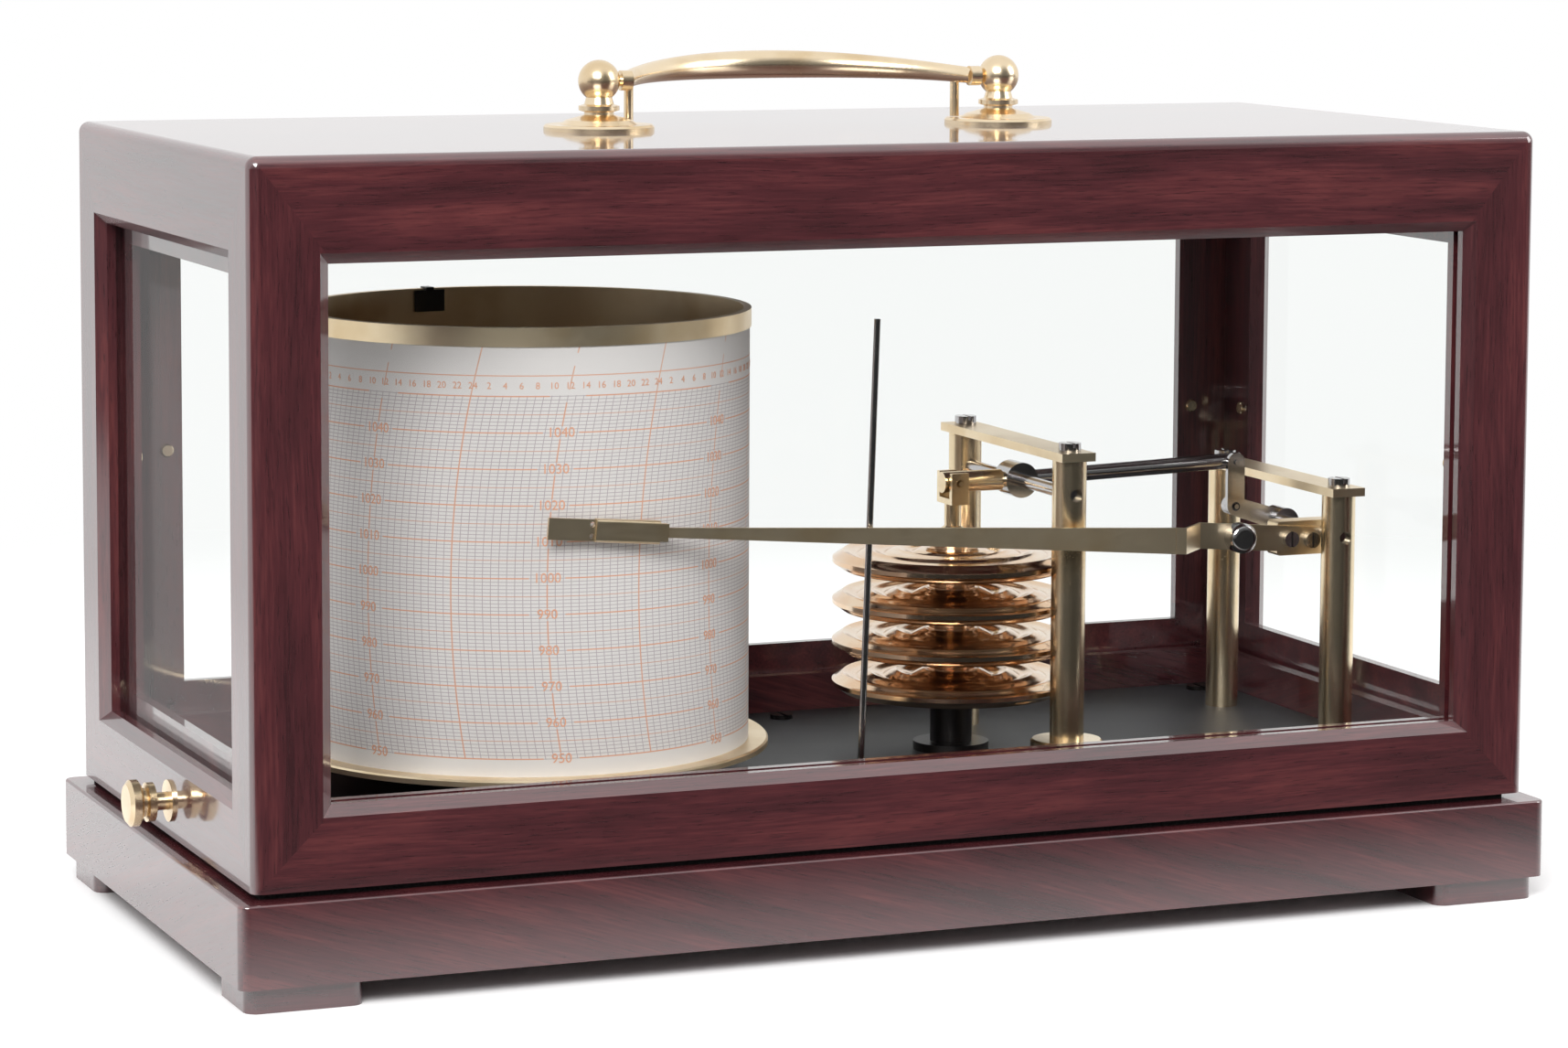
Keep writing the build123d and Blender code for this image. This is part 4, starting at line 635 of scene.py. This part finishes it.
class BAROGRAPH_OT_metal(bpy.types.Operator):
    """Finish the brass and steel of the works, the drum and the handle"""
    bl_idname = "barograph.metal"
    bl_label = "Metal"

    def execute(self, context):
        look = context.scene.barograph_metal
        brass = brass_finish("turned_brass", colour(look.brass), 0.17)
        sheet = brass_finish("sheet_brass", colour(look.brass), 0.26, brushing=(0.06, 1.0, 1.0))
        drum = brass_finish("drum_brass", colour(look.brass), 0.30, brushing=(0.3, 0.3, 1.0))
        steel = steel_finish("polished_steel", colour(look.steel), 0.12)
        dark = steel_finish("dark_steel", colour(look.dark_steel), 0.30)
        sheet_metal = capsule_finish("capsule_metal", colour(look.capsule), 0.12)
        for nodes, material in ((BRASS_NODES, brass), (SHEET_BRASS_NODES, sheet), (DRUM_BRASS_NODES, drum),
                                (STEEL_NODES, steel), (DARK_STEEL_NODES, dark), (CAPSULE_NODES, sheet_metal)):
            for node in nodes:
                dress(node, material)
        dress("floor_plate", floor_paint("black_paint", colour(look.black)))
        return {"FINISHED"}


class BAROGRAPH_OT_chart(bpy.types.Operator):
    """Print the chart and set its numbers"""
    bl_idname = "barograph.chart"
    bl_label = "Chart"

    def execute(self, context):
        look = context.scene.barograph_chart
        dress("chart_paper", chart_finish("chart_print", look))
        radius = half_of("chart_paper").x
        centre = centre_of("chart_paper")
        seam = chart_seam()
        noon = noon_angle(look)
        first = -int(noon / look.day_angle)
        last = int((2.0 * math.pi - noon) / look.day_angle)
        digits_mesh = bmesh.new()
        for pressure in range(CHART_LOW_PRESSURE, CHART_HIGH_PRESSURE, 10):
            digits = flat_text(str(pressure), look.number_height)
            height = CHART_LOW_HEIGHT + (pressure - CHART_LOW_PRESSURE) * CHART_SPACING
            for day in range(first, last + 1):
                angle = seam + noon + day * look.day_angle + arc_offset(height, radius)
                wrap_on_drum(digits_mesh, digits, angle, height, radius, centre)
        top = CHART_LOW_HEIGHT + (CHART_HIGH_PRESSURE - CHART_LOW_PRESSURE) * CHART_SPACING
        height = top + look.border / 2
        for hour in range(2, 26, 2):
            digits = flat_text(str(hour), look.hour_height)
            for day in range(first - 1, last + 2):
                days = day + (hour - 12) / 24
                around = noon + days * look.day_angle + arc_offset(height, radius)
                if SEAM_GAP < around < 2.0 * math.pi - SEAM_GAP:
                    wrap_on_drum(digits_mesh, digits, seam + around, height, radius, centre)
        mesh = bpy.data.meshes.new("chart_numbers")
        digits_mesh.to_mesh(mesh)
        digits_mesh.free()
        new_piece("chart_numbers", mesh, ink_finish("chart_ink", colour(look.ink), 0.7), "drum")
        return {"FINISHED"}


def area_lamp(name, place, target, size, power):
    """Soft rectangular lamp that faces a point."""
    data = bpy.data.lights.new(name, "AREA")
    data.shape = "RECTANGLE"
    data.size, data.size_y = size
    data.energy = power
    lamp = bpy.data.objects.new(name, data)
    lamp.location = place
    lamp.rotation_mode = "QUATERNION"
    lamp.rotation_quaternion = (Vector(target) - Vector(place)).to_track_quat("-Z", "Y")
    bpy.context.scene.collection.objects.link(lamp)


def white_world():
    """White all round for the camera, and for light and gloss too, but dim level with the front."""
    world = bpy.data.worlds.new("studio")
    bpy.context.scene.world = world
    world.use_nodes = True
    finish = Finish("studio", world.node_tree)
    background = world.node_tree.nodes["Background"]
    direction = finish.node("ShaderNodeTexCoord", output="Generated")
    split = world.node_tree.nodes.new("ShaderNodeSeparateXYZ")
    finish.feed(split.inputs[0], direction)
    y = Value(finish, split.outputs[1])
    z = Value(finish, split.outputs[2])
    front = finish.smooth(0.0 - y - abs(z) * 0.6, -0.10, 0.65)
    camera = finish.node("ShaderNodeLightPath", output="Is Camera Ray")
    level = 1.0 - front * FRONT_DIMMING
    level = level + (1.0 - level) * camera
    grey = finish.mix(level, (0.0, 0.0, 0.0, 1.0), (1.0, 1.0, 1.0, 1.0))
    finish.feed(background.inputs["Color"], grey)
    background.inputs["Strength"].default_value = 1.0


def seen_ray(finish, mirrored):
    """1 for what the camera sees directly, and a given share for what it sees in a mirror or glass."""
    rays = [finish.node("ShaderNodeLightPath", output=name)
            for name in ("Is Camera Ray", "Is Glossy Ray", "Is Transmission Ray")]
    return finish.math("MAXIMUM", rays[0], finish.math("MAXIMUM", rays[1], rays[2]) * mirrored)


def stage_floor():
    """Wide pale floor that keeps the shadow, fades to white far off and is dark in the gloss of the front."""
    mesh = bpy.data.meshes.new("studio_floor")
    shape = bmesh.new()
    bmesh.ops.create_grid(shape, x_segments=1, y_segments=1, size=FLOOR_REACH)
    shape.to_mesh(mesh)
    shape.free()
    floor = bpy.data.objects.new("studio_floor", mesh)
    bpy.context.scene.collection.objects.link(floor)
    finish = Finish("studio_floor")
    x, y, z = finish.place()
    seen = seen_ray(finish, 1.0 - finish.smooth(0.0 - y, MIRROR_NEAR, MIRROR_FAR))
    far = finish.smooth(x * x + y * y, FADE_START, FADE_END)
    mirror = finish.node("ShaderNodeLightPath", output="Is Glossy Ray")
    unseen = finish.mix(mirror, opaque(BOUNCE_TONE), opaque(DARK_MIRROR_TONE))
    shade = finish.mix(seen, unseen, opaque(FLOOR_TONE))
    finish.set(Base_Color=shade, Roughness=0.9, Specular_IOR_Level=0.0)
    white = finish.node("ShaderNodeEmission", inputs={"Color": (1.0, 1.0, 1.0, 1.0), "Strength": 1.0})
    surface = Value(finish, finish.shader.outputs[0])
    both = finish.node("ShaderNodeMixShader", inputs={0: far * seen, 1: surface, 2: white})
    finish.feed(finish.tree.nodes["Material Output"].inputs["Surface"], both)
    mesh.materials.append(finish.material)


def photo_camera(look):
    """Camera at the viewing angle of the photograph."""
    yaw, pitch, roll = (math.radians(value) for value in (look.yaw, look.pitch, look.roll))
    ahead = Vector((math.sin(yaw) * math.cos(pitch), math.cos(yaw) * math.cos(pitch), -math.sin(pitch)))
    right = Vector((math.cos(yaw), -math.sin(yaw), 0.0))
    up = right.cross(ahead)
    rolled_right = right * math.cos(roll) + up * math.sin(roll)
    rolled_up = up * math.cos(roll) - right * math.sin(roll)
    data = bpy.data.cameras.new("camera")
    data.sensor_width = 36.0
    data.lens = look.lens
    data.shift_y = look.shift
    data.clip_start = 0.05
    data.clip_end = 60.0
    camera = bpy.data.objects.new("camera", data)
    turn = Matrix((rolled_right, rolled_up, -ahead)).transposed().to_4x4()
    camera.matrix_world = Matrix.Translation(Vector(look.place)) @ turn
    bpy.context.scene.collection.objects.link(camera)
    bpy.context.scene.camera = camera


class BAROGRAPH_OT_stage(bpy.types.Operator):
    """Set up the floor, the lamps and the camera"""
    bl_idname = "barograph.stage"
    bl_label = "Stage"

    def execute(self, context):
        look = context.scene.barograph_stage
        context.scene.view_settings.view_transform = "Standard"
        white_world()
        stage_floor()
        photo_camera(look)
        middle = (cad_box[0] + cad_box[1]) / 2
        area_lamp("key_lamp", KEY_PLACE, middle, KEY_SIZE, look.key)
        area_lamp("fill_lamp", FILL_PLACE, middle, FILL_SIZE, look.fill)
        return {"FINISHED"}


class BAROGRAPH_PT_panel(bpy.types.Panel):
    """Steps that dress the barograph"""
    bl_idname = "BAROGRAPH_PT_panel"
    bl_label = "Barograph"
    bl_space_type = "VIEW_3D"
    bl_region_type = "UI"
    bl_category = "Barograph"

    def draw(self, context):
        for name in STEPS:
            self.layout.operator("barograph." + name)


STEPS = ("case", "glass", "metal", "chart", "stage")
CLASSES = (ChartLook, WoodLook, MetalLook, StageLook, BAROGRAPH_OT_case, BAROGRAPH_OT_glass,
           BAROGRAPH_OT_metal, BAROGRAPH_OT_chart, BAROGRAPH_OT_stage, BAROGRAPH_PT_panel)
LOOKS = {"barograph_chart": ChartLook, "barograph_wood": WoodLook, "barograph_metal": MetalLook,
         "barograph_stage": StageLook}


def register():
    for item in CLASSES:
        bpy.utils.register_class(item)
    for name, group in LOOKS.items():
        setattr(bpy.types.Scene, name, PointerProperty(type=group))


def unregister():
    for name in LOOKS:
        delattr(bpy.types.Scene, name)
    for item in reversed(CLASSES):
        bpy.utils.unregister_class(item)


def main():
    register()
    for name in STEPS:
        getattr(bpy.ops.barograph, name)()


if __name__ == "__main__":
    main()
